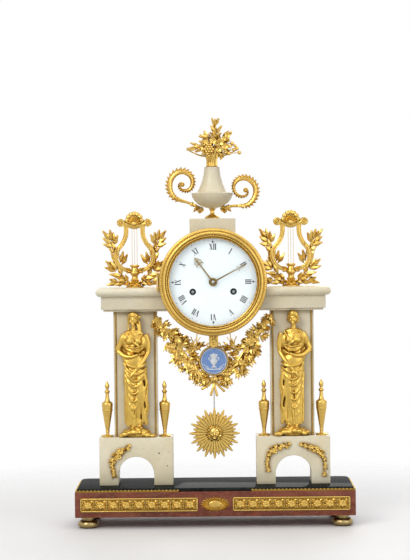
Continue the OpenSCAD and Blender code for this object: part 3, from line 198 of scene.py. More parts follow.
# Spins a profile of (radius, height) pairs, whose ends lie on the axis or close on themselves
def turned(profile, at=(0, 0, 0), segments=48, axis="Z"):
    deselect()
    mesh = bpy.data.meshes.new("turned")
    mesh.from_pydata([(r * mm, 0, z * mm) for r, z in profile], [(i, i + 1) for i in range(len(profile) - 1)], [])
    piece = bpy.data.objects.new("turned", mesh)
    bpy.context.collection.objects.link(piece)
    only(piece)
    bpy.ops.object.mode_set(mode="EDIT")
    bpy.ops.mesh.select_all(action="SELECT")
    bpy.ops.mesh.spin(steps=segments, angle=math.tau, center=(0, 0, 0), axis=(0, 0, 1))
    bpy.ops.mesh.select_all(action="SELECT")
    bpy.ops.mesh.remove_doubles(threshold=0.00001)
    bpy.ops.mesh.normals_make_consistent(inside=False)
    bpy.ops.object.mode_set(mode="OBJECT")
    if axis == "Y":
        piece.data.transform(Matrix.Rotation(math.radians(-90), 4, "X"))
    piece.data.transform(moved(at))
    return piece


def moved(at):
    return Matrix.Translation(Vector(at) * mm)


def copyOf(template, matrix):
    piece = template.copy()
    piece.data = template.data.copy()
    bpy.context.collection.objects.link(piece)
    piece.data.transform(matrix)
    return piece


# angle turns in the front view, from +X towards +Z; tilt lifts the tip towards the viewer; roll turns about the length
def placing(at, angle=0.0, size=1.0, tilt=0.0, roll=0.0):
    scale = Matrix.Diagonal((*(size if hasattr(size, "__len__") else (size, size, size)), 1))
    turn = Matrix.Rotation(math.radians(-angle), 4, "Y")
    lift = Matrix.Rotation(math.radians(-tilt), 4, "Z")
    twist = Matrix.Rotation(math.radians(roll), 4, "X")
    return moved(at) @ turn @ lift @ twist @ scale


def joined(pieces, name):
    only(pieces[0])
    for piece in pieces:
        piece.select_set(True)
    if len(pieces) > 1:
        bpy.ops.object.join()
    piece = bpy.context.object
    piece.name = name
    piece.data.name = name
    return piece


def discard(*pieces):
    for piece in pieces:
        bpy.data.objects.remove(piece, do_unlink=True)


# Names a finished piece, gives it its finish and lets it ride
def ready(piece, name, body, material, replaced=(), angle=40):
    piece.name = name
    piece.data.materials.clear()
    piece.data.materials.append(material)
    only(piece)
    bpy.ops.object.shade_smooth_by_angle(angle=math.radians(angle))
    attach(piece, body)
    if replaced:
        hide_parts(*replaced)
    return piece


# Joins parts of gilt bronze into one finished piece
def gilded(parts, name, replaced=(), angle=40, finish=None, body="case"):
    return ready(joined(parts, name), name, body, finish or gilt, replaced, angle)


def polar(radius, angle):
    return radius * math.cos(math.radians(angle)), radius * math.sin(math.radians(angle))


# Finishes


def newFinish(name, color, metallic, roughness):
    material = bpy.data.materials.new(name)
    material.use_nodes = True
    tree = material.node_tree
    shader = tree.nodes["Principled BSDF"]
    shader.inputs["Base Color"].default_value = (*color, 1)
    shader.inputs["Metallic"].default_value = metallic
    shader.inputs["Roughness"].default_value = roughness
    coords = tree.nodes.new("ShaderNodeTexCoord")
    return material, tree, shader, coords.outputs["Object"]


def noise(tree, vector, scale, detail=4.0, roughness=0.6, distortion=0.0):
    node = tree.nodes.new("ShaderNodeTexNoise")
    node.inputs["Scale"].default_value = scale
    node.inputs["Detail"].default_value = detail
    node.inputs["Roughness"].default_value = roughness
    node.inputs["Distortion"].default_value = distortion
    tree.links.new(vector, node.inputs["Vector"])
    return node.outputs["Fac"]


def ramp(tree, factor, *stops):
    node = tree.nodes.new("ShaderNodeValToRGB")
    band = node.color_ramp
    while len(band.elements) < len(stops):
        band.elements.new(0.5)
    for element, (place, color) in zip(band.elements, stops):
        element.position = place
        element.color = (*color, 1) if hasattr(color, "__len__") else (color, color, color, 1)
    tree.links.new(factor, node.inputs["Fac"])
    return node.outputs["Color"]


def blendColor(tree, factor, a, b):
    node = tree.nodes.new("ShaderNodeMix")
    node.data_type = "RGBA"
    for socket, value in ((node.inputs[0], factor), (node.inputs[6], a), (node.inputs[7], b)):
        if hasattr(value, "is_linked"):
            tree.links.new(value, socket)
        elif hasattr(value, "__len__"):
            socket.default_value = (*value, 1)
        else:
            socket.default_value = value
    return node.outputs[2]


def relief(tree, shader, height, strength, distance):
    node = tree.nodes.new("ShaderNodeBump")
    node.inputs["Strength"].default_value = strength
    node.inputs["Distance"].default_value = distance
    tree.links.new(height, node.inputs["Height"])
    tree.links.new(node.outputs["Normal"], shader.inputs["Normal"])


def mottle(tree, place, shader, socket, grain, *stops):
    tree.links.new(ramp(tree, noise(tree, place, *grain), *stops), shader.inputs[socket])


# Ambient occlusion, used to paint shade into hollows
def hollows(tree, reach):
    node = tree.nodes.new("ShaderNodeAmbientOcclusion")
    node.samples = 6
    node.inputs["Distance"].default_value = reach * mm
    return node.outputs["AO"]


# Fire-gilt bronze: bright where it was burnished, brown in the hollows, as dirt and as painted shade
def giltFinish(name, bright, deep, roughness, reach=3.0, wear=0.35):
    material, tree, shader, place = newFinish(name, bright, 1.0, roughness)
    patches = ramp(tree, noise(tree, place, 70, 5), (0.3, tuple(c * 0.86 for c in bright)), (0.7, bright))
    # Dirt and painted shade: the colour turns to the deep colour where ambient occlusion finds a hollow
    dirtAndShade = ramp(tree, hollows(tree, reach), (0.12, 0.95), (0.74, 0.0))
    tree.links.new(blendColor(tree, dirtAndShade, patches, deep), shader.inputs["Base Color"])
    specks = noise(tree, place, 900, 2)
    mottle(tree, place, shader, "Roughness", (240, 4), (0.3, roughness * 0.75), (0.75, min(1, roughness * 1.5)))
    relief(tree, shader, specks, wear, 0.00012)
    return material


def whiteMarbleFinish():
    material, tree, shader, place = newFinish("whiteMarble", (0.8, 0.77, 0.68), 0.0, 0.42)
    tints = (0.3, (0.78, 0.68, 0.45)), (0.52, (0.85, 0.77, 0.56)), (0.75, (0.89, 0.84, 0.68))
    clouds = ramp(tree, noise(tree, place, 9, 6, 0.6, 0.6), *tints)
    veins = ramp(tree, noise(tree, place, 16, 9, 0.7, 2.2), (0.485, 0.0), (0.5, 1.0), (0.515, 0.0))
    veined = blendColor(tree, veins, clouds, (0.66, 0.62, 0.52))
    soft = blendColor(tree, 0.55, clouds, veined)
    specks = ramp(tree, noise(tree, place, 420, 3, 0.7), (0.66, 0.0), (0.76, 0.5))
    # Grime and painted shade: darker and browner where ambient occlusion finds a hollow
    grimeAndShade = ramp(tree, hollows(tree, 7), (0.35, 0.75), (0.95, 0.0))
    dotted = blendColor(tree, specks, soft, (0.55, 0.46, 0.28))
    tree.links.new(blendColor(tree, grimeAndShade, dotted, (0.46, 0.38, 0.24)), shader.inputs["Base Color"])
    mottle(tree, place, shader, "Roughness", (60, 4), (0.3, 0.34), (0.8, 0.52))
    shader.inputs["Subsurface Weight"].default_value = 0.06
    shader.inputs["Subsurface Radius"].default_value = (0.004, 0.003, 0.002)
    relief(tree, shader, noise(tree, place, 260, 5), 0.10, 0.0003)
    return material


def redMarbleFinish():
    material, tree, shader, place = newFinish("redMarble", (0.2, 0.07, 0.05), 0.0, 0.22)
    base = ramp(
        tree, noise(tree, place, 14, 8, 0.65, 1.2),
        (0.3, (0.08, 0.018, 0.008)), (0.5, (0.15, 0.030, 0.013)), (0.68, (0.21, 0.046, 0.019)), (0.82, (0.12, 0.04, 0.022)),
    )
    stretched = tree.nodes.new("ShaderNodeMapping")
    stretched.inputs["Scale"].default_value = (0.35, 1, 1.4)
    tree.links.new(place, stretched.inputs["Vector"])
    streaks = ramp(tree, noise(tree, stretched.outputs["Vector"], 60, 6, 0.6, 0.8), (0.42, 0.0), (0.62, 0.6))
    streaked = blendColor(tree, streaks, base, (0.25, 0.07, 0.032))
    veins = ramp(tree, noise(tree, place, 30, 9, 0.7, 3.0), (0.492, 0.0), (0.5, 0.5), (0.508, 0.0))
    veined = blendColor(tree, veins, streaked, (0.42, 0.26, 0.18))
    specks = ramp(tree, noise(tree, place, 300, 2, 0.5), (0.75, 0.0), (0.8, 0.6))
    tree.links.new(blendColor(tree, specks, veined, (0.45, 0.33, 0.28)), shader.inputs["Base Color"])
    mottle(tree, place, shader, "Roughness", (90, 4), (0.3, 0.16), (0.8, 0.36))
    shader.inputs["Specular IOR Level"].default_value = 0.3
    shader.inputs["Coat Weight"].default_value = 0.08
    relief(tree, shader, noise(tree, place, 320, 4), 0.06, 0.0002)
    return material


def blackMarbleFinish():
    material, tree, shader, place = newFinish("blackMarble", (0.012, 0.014, 0.013), 0.0, 0.08)
    clouds = ramp(tree, noise(tree, place, 20, 6, 0.6, 1.0), (0.4, (0.008, 0.010, 0.009)), (0.7, (0.022, 0.026, 0.024)))
    veins = ramp(tree, noise(tree, place, 24, 9, 0.75, 2.5), (0.492, 0.0), (0.5, 0.35), (0.508, 0.0))
    specks = ramp(tree, noise(tree, place, 500, 2, 0.5), (0.74, 0.0), (0.8, 0.35))
    veined = blendColor(tree, veins, clouds, (0.2, 0.2, 0.18))
    tree.links.new(blendColor(tree, specks, veined, (0.24, 0.24, 0.22)), shader.inputs["Base Color"])
    mottle(tree, place, shader, "Roughness", (50, 5), (0.35, 0.05), (0.85, 0.22))
    shader.inputs["Specular IOR Level"].default_value = 0.0
    shader.inputs["Coat Weight"].default_value = 0.14
    shader.inputs["Coat Roughness"].default_value = 0.08
    relief(tree, shader, noise(tree, place, 150, 4), 0.03, 0.0002)
    return material


def enamelFinish():
    material, tree, shader, place = newFinish("enamel", (0.80, 0.85, 0.89), 0.0, 0.14)
    mottle(tree, place, shader, "Base Color", (24, 5), (0.3, (0.78, 0.83, 0.87)), (0.7, (0.84, 0.88, 0.91)))
    shader.inputs["Coat Weight"].default_value = 0.5
    relief(tree, shader, noise(tree, place, 90, 3), 0.04, 0.0002)
    return material


# Black paint for the dial's figures, also used as painted shade in the pin holes and the winding holes
def blackEnamelAndShadeFinish():
    material, tree, shader, place = newFinish("blackEnamel", (0.012, 0.012, 0.014), 0.0, 0.3)
    mottle(tree, place, shader, "Base Color", (600, 3), (0.35, (0.01, 0.01, 0.012)), (0.8, (0.05, 0.05, 0.055)))
    return material


def glassFinish():
    material, tree, shader, place = newFinish("clearGlass", (0.97, 0.99, 0.985), 0.0, 0.02)
    shader.inputs["Transmission Weight"].default_value = 1.0
    shader.inputs["IOR"].default_value = 1.02
    shader.inputs["Specular IOR Level"].default_value = 0.5
    relief(tree, shader, noise(tree, place, 30, 2), 0.01, 0.0002)
    return material


def cameoFinish(name, low, high, strength):
    material, tree, shader, place = newFinish(name, high, 0.0, 0.62)
    mottle(tree, place, shader, "Base Color", (180, 5), (0.3, low), (0.7, high))
    relief(tree, shader, noise(tree, place, 700, 4), strength, 0.0002)
    return material


def steelFinish():
    material, tree, shader, place = newFinish("steel", (0.5, 0.5, 0.51), 1.0, 0.28)
    mottle(tree, place, shader, "Base Color", (150, 5), (0.3, (0.36, 0.36, 0.37)), (0.7, (0.56, 0.56, 0.57)))
    relief(tree, shader, noise(tree, place, 1400, 2), 0.08, 0.0001)
    return material


gilt = giltFinish("giltBronze", (0.69, 0.46, 0.12), (0.14, 0.066, 0.011), 0.27)
# A slightly brighter copy of the gilt for the bezel: painted light
giltRing = giltFinish("giltRing", (0.72, 0.47, 0.115), (0.16, 0.07, 0.009), 0.24, reach=2.6, wear=0.05)
# A darker copy of the gilt for the figures: painted shade
giltFigure = giltFinish("giltFigure", (0.66, 0.43, 0.095), (0.12, 0.05, 0.006), 0.3, reach=4.0)
# A matte gilt ground darkened as painted shade, for surfaces that lie behind beads and motifs
giltGround = giltFinish("giltGround", (0.30, 0.17, 0.032), (0.10, 0.045, 0.007), 0.5, reach=1.5, wear=0.5)
# A brighter copy of the gilt for the sun, with near-black hollows: painted light and painted shade
giltSun = giltFinish("giltSun", (0.76, 0.53, 0.15), (0.05, 0.02, 0.004), 0.24, reach=2.2)
footBrass = giltFinish("footBrass", (0.40, 0.30, 0.13), (0.08, 0.05, 0.02), 0.3, reach=5.0)
caseBrass = giltFinish("caseBrass", (0.72, 0.53, 0.24), (0.22, 0.13, 0.05), 0.36, reach=5.0, wear=0.15)
movementBrass = giltFinish("movementBrass", (0.78, 0.60, 0.28), (0.24, 0.15, 0.06), 0.28, reach=2.0, wear=0.12)
handBrass = giltFinish("handBrass", (0.40, 0.29, 0.12), (0.12, 0.08, 0.03), 0.3, reach=2.0, wear=0.1)
wireBrass = giltFinish("wireBrass", (0.75, 0.62, 0.42), (0.2, 0.14, 0.08), 0.3, reach=2.0, wear=0.1)
whiteMarble = whiteMarbleFinish()
redMarble = redMarbleFinish()
blackMarble = blackMarbleFinish()
enamel = enamelFinish()
blackEnamel = blackEnamelAndShadeFinish()
clearGlass = glassFinish()
cameoBlue = cameoFinish("cameoBlue", (0.15, 0.28, 0.62), (0.22, 0.37, 0.72), 0.15)
cameoWhite = cameoFinish("cameoWhite", (0.72, 0.76, 0.80), (0.86, 0.88, 0.90), 0.1)
steel = steelFinish()

slotFinish = {
    "red_marble": redMarble,
    "black_marble": blackMarble,
    "white_marble": whiteMarble,
    "gilt_bronze": gilt,
    "foot_brass": footBrass,
    "case_brass": caseBrass,
    "string_brass": wireBrass,
    "enamel": enamel,
    "dial_glass": clearGlass,
    "cameo_blue": cameoBlue,
    "movement_brass": movementBrass,
    "movement_steel": steel,
    "bell_metal": caseBrass,
}
slotOf = {row["node"]: row["material_slot"] for row in frame["record"]["subparts"]}
for node, part in nodes.items():
    part.data.materials.clear()
    part.data.materials.append(slotFinish[slotOf[node]])
# The strips under the pier beads and the base beads take the darkened ground: painted shade for the gaps between the
# beads
for node in ("pier_bead_strips", "base_bead_trim"):
    nodes[node].data.materials[0] = giltGround
print("finishes ready")

# Marble blocks, with their edges eased


def cadCopy(node):
    piece = nodes[node].copy()
    piece.data = nodes[node].data.copy()
    bpy.context.collection.objects.link(piece)
    piece.parent = None
    piece.matrix_world = Matrix.Identity(4)
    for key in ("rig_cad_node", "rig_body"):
        if key in piece:
            del piece[key]
    only(piece)
    bpy.ops.object.mode_set(mode="EDIT")
    bpy.ops.mesh.select_all(action="SELECT")
    bpy.ops.mesh.remove_doubles(threshold=0.000002)
    bpy.ops.mesh.dissolve_limited(angle_limit=math.radians(0.5))
    bpy.ops.object.mode_set(mode="OBJECT")
    return piece


def easedBlock(node, name, width):
    piece = cadCopy(node)
    modify(piece, "BEVEL", width=width * mm, segments=3, limit_method="ANGLE", angle_limit=math.radians(45), miter_outer="MITER_ARC")
    return ready(piece, name, "case", slotFinish[slotOf[node]], [node], angle=35)


easedNodes = {
    "base_block": 0.8,
    "base_top_slab": 1.0,
    "pedestal_left": 0.7,
    "pedestal_right": 0.7,
    "pier_left": 0.6,
    "pier_right": 0.6,
    "entablature_left": 0.5,
    "entablature_right": 0.5,
    "crown_block": 0.6,
}
for node, width in easedNodes.items():
    words = node.split("_")
    easedBlock(node, words[0] + "".join(w.title() for w in words[1:]) + "Stone", width)
print("marble done")

# Leaves, petals, flowers and berries that the mounts are made of


def makeLeaf(length, width, thick, curl=0.6, ridge=0.5):
    leaf = ball((length / 2, 0, 0), (thick / 2, width / 2, length / 2), 8, 8, (0, 90, 0))
    leaf.data.transform(Matrix.Rotation(math.radians(90), 4, "X"))
    base, tip = length * 0.22, length * 0.66
    shape(leaf, lambda c: c.x > tip, grow(1, 1, 0.62, (length, 0, 0)), shift(length * 0.04, -curl, 0))
    shape(leaf, lambda c: c.x < base, grow(1, 1, 0.6, (0, 0, 0)))
    shape(leaf, lambda c: abs(c.z) < width * 0.06 and c.y < 0 and base < c.x < length * 0.95, shift(0, -ridge, 0))
    shape(leaf, lambda c: width * 0.1 < abs(c.z) < width * 0.4 and c.y < 0, shift(0, ridge * 0.35, 0))
    leaf.name = "leafPattern"
    return leaf


def makeFlower(radius, petals, lift, heart):
    petal = makeLeaf(radius, radius * 0.86, radius * 0.26, curl=-radius * 0.04, ridge=-radius * 0.05)
    shape(petal, lambda c: c.x > radius * 0.6, grow(1, 1, 1.9))
    parts = [copyOf(petal, placing((0, 0, 0), i * 360 / petals, 1, lift)) for i in range(petals)]
    parts.append(ball((0, -radius * 0.16, 0), (heart, heart * 0.8, heart), 8, 6))
    discard(petal)
    return joined(parts, "flowerPattern")


leafPattern = makeLeaf(10, 4.2, 1.6)
fiveFlower = makeFlower(5, 5, 22, 1.3)
smallFlower = makeFlower(5, 6, 12, 1.5)
berry = ball((0, 0, 0), 1, 8, 6)
bead = ball((0, 0, 0), 1, 8, 5)
patterns = [leafPattern, fiveFlower, smallFlower, berry, bead]


def leafAt(*place):
    return copyOf(leafPattern, placing(*place))


def fiveFlowerAt(*place):
    return copyOf(fiveFlower, placing(*place))


def smallFlowerAt(*place):
    return copyOf(smallFlower, placing(*place))


def berryAt(at, size):
    return copyOf(berry, placing(at, 0, size))


def beadAt(at, size):
    return copyOf(bead, placing(at, 0, size))


# Base: bead trim, plaques and rosette

trimSet = {"bead": 1.35, "pitch": 5.3, "reel": 0.8, "height": 54.3, "sideX": 198.3, "frontY": -59.2, "backY": 62.3, "gap": 53.0}


def trimBeads(s):
    parts = []
    runs = [
        ((-s["sideX"], s["frontY"]), (-s["gap"], s["frontY"])),
        ((s["gap"], s["frontY"]), (s["sideX"], s["frontY"])),
        ((-s["sideX"], s["frontY"] + s["pitch"]), (-s["sideX"], s["backY"] - 10)),
        ((s["sideX"], s["frontY"] + s["pitch"]), (s["sideX"], s["backY"] - 10)),
        ((-s["sideX"] + 10, s["backY"]), (s["sideX"] - 10, s["backY"])),
    ]
    for start, end in runs:
        a, b = Vector(start), Vector(end)
        count = int((b - a).length / s["pitch"])
        for i in range(count + 1):
            at = a.lerp(b, i / count)
            parts.append(beadAt((*at, s["height"]), s["bead"]))
            if i < count:
                middle = a.lerp(b, (i + 0.5) / count)
                parts.append(beadAt((*middle, s["height"] - 0.3), s["reel"]))
    return parts


gilded(trimBeads(trimSet), "trimBeads", angle=60)

plaqueSet = {"middle": 108.5, "width": 167.0, "height": 19.3, "z": 34.5, "faceY": -62.0, "repeats": 9, "rim": 1.7}


def plaqueFrame(s, x):
    left, right = x - s["width"] / 2, x + s["width"] / 2
    y, rim = s["faceY"] - 0.1, s["rim"]
    return [
        block((x, s["faceY"] + 0.55, s["z"]), (s["width"], 1.3, s["height"]), 0.15),
        block((x, y, s["z"] + s["height"] / 2 - rim / 2), (s["width"], 2.0, rim), 0.4),
        block((x, y, s["z"] - s["height"] / 2 + rim / 2), (s["width"], 2.0, rim), 0.4),
        block((left + rim / 2, y, s["z"]), (rim, 2.0, s["height"]), 0.4),
        block((right - rim / 2, y, s["z"]), (rim, 2.0, s["height"]), 0.4),
    ]


def curl(x, y, z, radius, turns, start, way, thick):
    steps = int(10 * turns)
    points = []
    for i in range(steps + 1):
        t = i / steps
        dx, dz = polar(radius * (1 - 0.72 * t), start + way * 360 * turns * t)
        points.append((x + dx, y, z + dz))
    return rod(points, [thick * (1 - 0.4 * i / steps) for i in range(steps + 1)], 1)


def plaqueMotif(s):
    y = s["faceY"] - 0.2
    parts = [smallFlowerAt((0, y - 1.0, 0), 15, 0.95)]
    for a in (38, 142, 218, 322):
        parts.append(leafAt((polar(1.5, a)[0], y, polar(1.5, a)[1]), a, (0.84, 1.2, 0.95), 10))
    for a in (90, 270, 0, 180):
        parts.append(leafAt((polar(2.4, a)[0], y, polar(2.4, a)[1]), a, (0.54, 1.1, 0.8), 8))
    for way in (-1, 1):
        parts.append(curl(way * 6.2, y - 0.3, 3.4, 2.5, 1.2, 90, way, 0.8))
        parts.append(curl(way * 6.2, y - 0.3, -3.4, 2.5, 1.2, 270, -way, 0.8))
    parts.append(rod([(8.6, y, -6.4), (8.6, y - 0.3, 0), (8.6, y, 6.4)], 0.7, 1))
    for z in (-4.6, -1.6, 1.6, 4.6):
        parts.append(beadAt((8.6, y - 0.8, z), 0.95))
    return joined(parts, "plaqueMotif")


def plaques(s):
    motif = plaqueMotif(s)
    parts, grounds = [], []
    for side in (-1, 1):
        x = side * s["middle"]
        ground, *rims = plaqueFrame(s, x)
        grounds.append(ground)
        parts += rims
        step = (s["width"] - 2 * s["rim"]) / s["repeats"]
        for i in range(s["repeats"]):
            parts.append(copyOf(motif, moved((x + (i - (s["repeats"] - 1) / 2) * step, 0, s["z"]))))
    discard(motif)
    # The plaque grounds take the darkened gilt ground: painted shade behind the motifs
    gilded(grounds, "plaqueGrounds", finish=giltGround)
    return parts


rosetteSet = {"z": 34.5, "faceY": -61.6, "halfWidth": 21.0, "halfHeight": 11.0, "petals": 22}


def rosette(s):
    parts = []
    petal = makeLeaf(10, 5.2, 1.6, 0.2, 0.5)
    for ring, (reach, size, turn) in enumerate(((0.52, 1.0, 0), (0.40, 0.82, 0.5))):
        for i in range(s["petals"]):
            a = (i + turn) * 360 / s["petals"]
            dx, dz = math.cos(math.radians(a)), math.sin(math.radians(a))
            at = (s["halfWidth"] * reach * dx, s["faceY"] - 0.15 * ring, s["z"] + s["halfHeight"] * reach * dz)
            lean = math.degrees(math.atan2(s["halfHeight"] * dz, s["halfWidth"] * dx))
            length = math.hypot(s["halfWidth"] * dx, s["halfHeight"] * dz) * (1 - reach) / 10
            parts.append(copyOf(petal, placing(at, lean, (length * size, 0.8, 0.5 * size))))
    parts.append(ball((0, s["faceY"] - 0.1, s["z"]), (9.6, 1.4, 5.4), 24, 10))
    for ring, count in ((0.28, 8), (0.58, 16), (0.86, 24)):
        for i in range(count):
            dx, dz = polar(1, i * 360 / count)
            lift = 1.25 * math.sqrt(max(0, 1 - ring * ring))
            parts.append(beadAt((9.0 * ring * dx, s["faceY"] - 0.1 - lift, s["z"] + 5.0 * ring * dz), 0.62))
    discard(petal)
    return parts


gilded([*plaques(plaqueSet), *rosette(rosetteSet)], "baseMounts", ["base_plaques"], 50)
print("base mounts done")

# Floral sprays on the pedestals

spraySet = {"y": -25.6, "seed": 40}
sprayPaths = [
    [(-121.5, 115.5), (-133, 107), (-143, 99.5), (-148.5, 90), (-146, 80), (-145, 71.5)],
    [(109.2, 115.5), (95, 111.5), (81, 106), (76, 92), (76.5, 78)],
    [(122.5, 115.5), (137, 110.5), (150.5, 104.5), (157.5, 92), (157.5, 71)],
]


def spray(path, y, seed):
    draw = random.Random(seed)
    line = smoothPath([(x, y, z) for x, z in path], 4)
    parts = [rod(line, 0.8, 1)]
    count = len(line)
    for i in range(count):
        t = i / (count - 1)
        here, ahead = line[i], line[min(i + 1, count - 1)] if i < count - 1 else line[i] * 2 - line[i - 1]
        along = math.degrees(math.atan2(ahead.z - here.z, ahead.x - here.x))
        full = math.sin(math.pi * min(1, t * 1.25 + 0.08)) ** 0.8 if t < 0.74 else 0.42
        for way in (-1, 1):
            lean = along + way * draw.uniform(34, 70)
            size = 0.36 + 0.42 * full
            parts.append(leafAt((here.x, y - 0.3, here.z), lean, (size, 0.8, size), draw.uniform(6, 20)))
        for k in range(2):
            dx, dz = polar(draw.uniform(0.5, 5.2) * full, draw.uniform(0, 360))
            if (i + k) % 3:
                parts.append(fiveFlowerAt((here.x + dx, y - 1.6, here.z + dz), draw.uniform(0, 72), 0.26 + 0.28 * full))
            else:
                parts.append(berryAt((here.x + dx, y - 1.6, here.z + dz), 1.15))
    return parts


sprayParts = []
for seed, path in enumerate(sprayPaths):
    sprayParts += spray(path, spraySet["y"], spraySet["seed"] + seed)
gilded(sprayParts, "sprays", ["pedestal_sprays"], 50)

# Pin holes in the left pedestal, as flat black spots of painted shade: (x, z), radius

pinSet = {"y": -24.95, "depth": 0.12, "holes": [((-80.3, 103.8), 1.3), ((-67.0, 105.6), 0.7), ((-68.5, 85.5), 1.0), ((-102.1, 111.2), 0.6)]}
holeParts = [ball((x, pinSet["y"], z), (r, pinSet["depth"], r), 12, 6) for (x, z), r in pinSet["holes"]]
ready(joined(holeParts, "pinHoles"), "pinHoles", "case", blackEnamel)

# Beads on the piers

stripSet = {"offsets": (-28.25, 28.25), "y": -8.9, "low": 127.6, "high": 307.2, "pitch": 3.25, "bead": 1.08}


def pierBeads(s):
    parts = []
    count = int((s["high"] - s["low"]) / s["pitch"])
    for side in (-1, 1):
        for offset in s["offsets"]:
            for i in range(count + 1):
                z = s["low"] + (s["high"] - s["low"]) * i / count
                parts.append(beadAt((side * pierX + offset, s["y"], z), s["bead"]))
    return parts


gilded(pierBeads(stripSet), "pierBeads", angle=60)
print("sprays and beads done")

# Urn finials

finialSet = {"edge": 41.5, "y": -10, "foot": 126.5, "segments": 36}
finialProfile = [
    (0, 0), (8.6, 0), (8.6, 1.4), (7.2, 2.6), (3.4, 3.6), (2.4, 5), (2.4, 7), (3.2, 8), (2.6, 9.2), (3.4, 14), (5.0, 24),
    (6.6, 34), (7.2, 38),
    (7.8, 38.4), (7.8, 39.8), (7.4, 40.2), (7.8, 44), (8.0, 47.6), (7.8, 49), (7.0, 50.2), (5.0, 51.2), (3.6, 53), (2.9, 56),
    (2.5, 60), (2.4, 63),
    (3.6, 64.4), (4.1, 65.6), (3.6, 66.8), (2.0, 68), (1.8, 69.4), (2.8, 71), (3.3, 73.4), (3.0, 75.6), (1.9, 77.6),
    (1.2, 79.4), (0.6, 80.8), (0, 81),
]
finialPlaces = [(side * pierX + edge * finialSet["edge"], finialSet["y"], finialSet["foot"]) for side in (-1, 1) for edge in (-1, 1)]
gilded([turned(finialProfile, place, finialSet["segments"]) for place in finialPlaces], "finials", ["urn_finials"], 35)

# Lyres with their laurel

lyreSet = {"y": 4.0, "foot": 342.0, "discX": 19.4, "discZ": 94.0}
lyreStand = [
    (0, 0), (13, 0), (13, 1.3), (11.8, 2.4), (9.4, 3.2), (8.6, 4.6), (6.2, 6.2), (5.0, 8.6), (6.4, 10.2), (6.6, 11.4),
    (5.0, 12.8),
    (4.2, 15), (4.6, 17.2), (6.6, 19.4), (7.2, 21.4), (6.6, 23.2), (5.2, 25.2), (4.8, 28.6), (6.6, 30.2), (7.0, 32), (6.2, 33),
    (0, 33),
]
# (x, z, half width) along the right-hand arm
lyreArm = [
    (1, 23.5, 2.6), (9.6, 24.8, 3.0), (18.8, 28.4, 3.3), (25.4, 36.6, 3.4), (27.2, 47, 3.5),
    (23.6, 56, 3.5), (17.4, 64, 3.5), (13.2, 73, 3.5), (11.8, 82, 3.6), (12.4, 90, 3.6),
]
lyreDisc = [(0, -2.2), (4.6, -2.4), (5.6, -2.6), (6.0, -1.6), (6.0, 2.0), (5.4, 2.8), (0, 2.8)]


def lyre(side, s):
    x, y, z = side * pierX, s["y"], s["foot"]
    parts = [turned(lyreStand, (x, y, z), 32)]
    flat = moved((x, y, z)) @ Matrix.Diagonal((1, 0.62, 1, 1))
    for way in (-1, 1):
        arm = rod([(way * ax, 0, az) for ax, az, w in lyreArm], [w for ax, az, w in lyreArm], 3, 5)
        arm.data.transform(flat)
        parts.append(arm)
        line = smoothPath(lyreArm, 5)
        for edge in (-1, 1):
            ridge = []
            for i, p in enumerate(line):
                step = line[min(i + 1, len(line) - 1)] - line[max(i - 1, 0)]
                across = Vector((-step.y, step.x)).normalized() * p.z * 0.74 * edge
                ridge.append((x + way * (p.x + across.x), y - p.z * 0.5, z + p.y + across.y))
            parts.append(rod(ridge, 0.85, 1))
        disc = (x + way * s["discX"], y, z + s["discZ"])
        parts.append(turned(lyreDisc, disc, 28, "Y"))
        parts.append(curl(disc[0], y - 2.7, disc[2], 4.9, 1.7, 100, -way, 0.95))
        parts.append(ball((disc[0], y - 3.0, disc[2]), (1.6, 1.1, 1.6), 12, 8))
        parts.append(rod([(x + way * 8, y, z + 91), (x + way * 14, y, z + 92.0), (x + way * 19, y, z + 97)], [3.2, 3.0, 2.2], 2, 4))
        for a, long in ((150, 0.9), (205, 0.8), (20, 0.7)):
            lean = a if way < 0 else 180 - a
            parts.append(leafAt((x + way * 5, y - 2.4, z + 24.4), lean, (long, 1.2, 1.1), 8))
    parts.append(rod([(x - 13, y, z + 89.6), (x, y, z + 89.0), (x + 13, y, z + 89.6)], 2.8, 2, 5))
    parts.append(ball((x, y, z + 96), (12.8, 3.2, 11.4), 24, 12))
    for i in range(7):
        a = 12 + i * 26
        dx, dz = 10.6 * math.cos(math.radians(a)), 12.2 * math.sin(math.radians(a))
        parts.append(ball((x + dx, y - 1.0, z + 94.6 + dz), (3.8, 2.8, 3.8), 14, 10))
        parts.append(leafAt((x, y - 3.0, z + 92.4), a, (math.hypot(dx, dz) / 10.2, 1.5, 1.3), 3))
    parts.append(ball((x, y - 3.2, z + 92.6), (4.2, 2.4, 3.2), 14, 8))
    for i in range(7):
        parts.append(leafAt((x, y - 7.4, z + 5.4), -12 + i * 34, (0.82, 1.2, 1.2), 14))
    return parts


# Leaves on the right-hand side of a lyre: (x, z) of the base and of the tip
laurelLeaves = [
    (33, 63, 46, 72.5), (35, 69, 46, 83), (33, 68, 36, 84), (30, 62, 23.5, 77), (31, 59, 45.5, 63.5), (30, 66, 30, 80),
    (36, 72, 41.5, 80),
    (27, 39, 34, 51), (27, 42, 23, 57), (25, 33, 33, 43), (28, 50, 37, 58), (27, 52, 19.5, 64), (29, 55, 33, 68),
    (19, 33, 9.5, 48.5), (21, 36, 17, 52.5), (30, 28, 43, 38.4), (27, 24, 43.6, 29), (26, 25, 35.5, 39), (20, 17, 37, 20.5),
    (19, 18, 24.5, 32),
    (14, 12, 30, 15.5), (26, 7.5, 41, 4.4), (24, 8, 37.5, 12.5), (16, 6, 29, 3.4), (13, 9, 24.5, 11), (8, 6, 18, 3.4),
    (10, 9, 15, 19),
]
laurelBerries = [(24, 45), (26.5, 47.5), (28, 31), (30.5, 57.5), (33, 60), (22.5, 25), (20, 12), (31, 43)]
laurelStem = [(1, 5), (9, 8), (18, 17), (27, 33), (30, 45), (28, 56), (33, 68), (37, 75)]
laurelTwig = [(3, 5), (14, 7), (26, 8)]


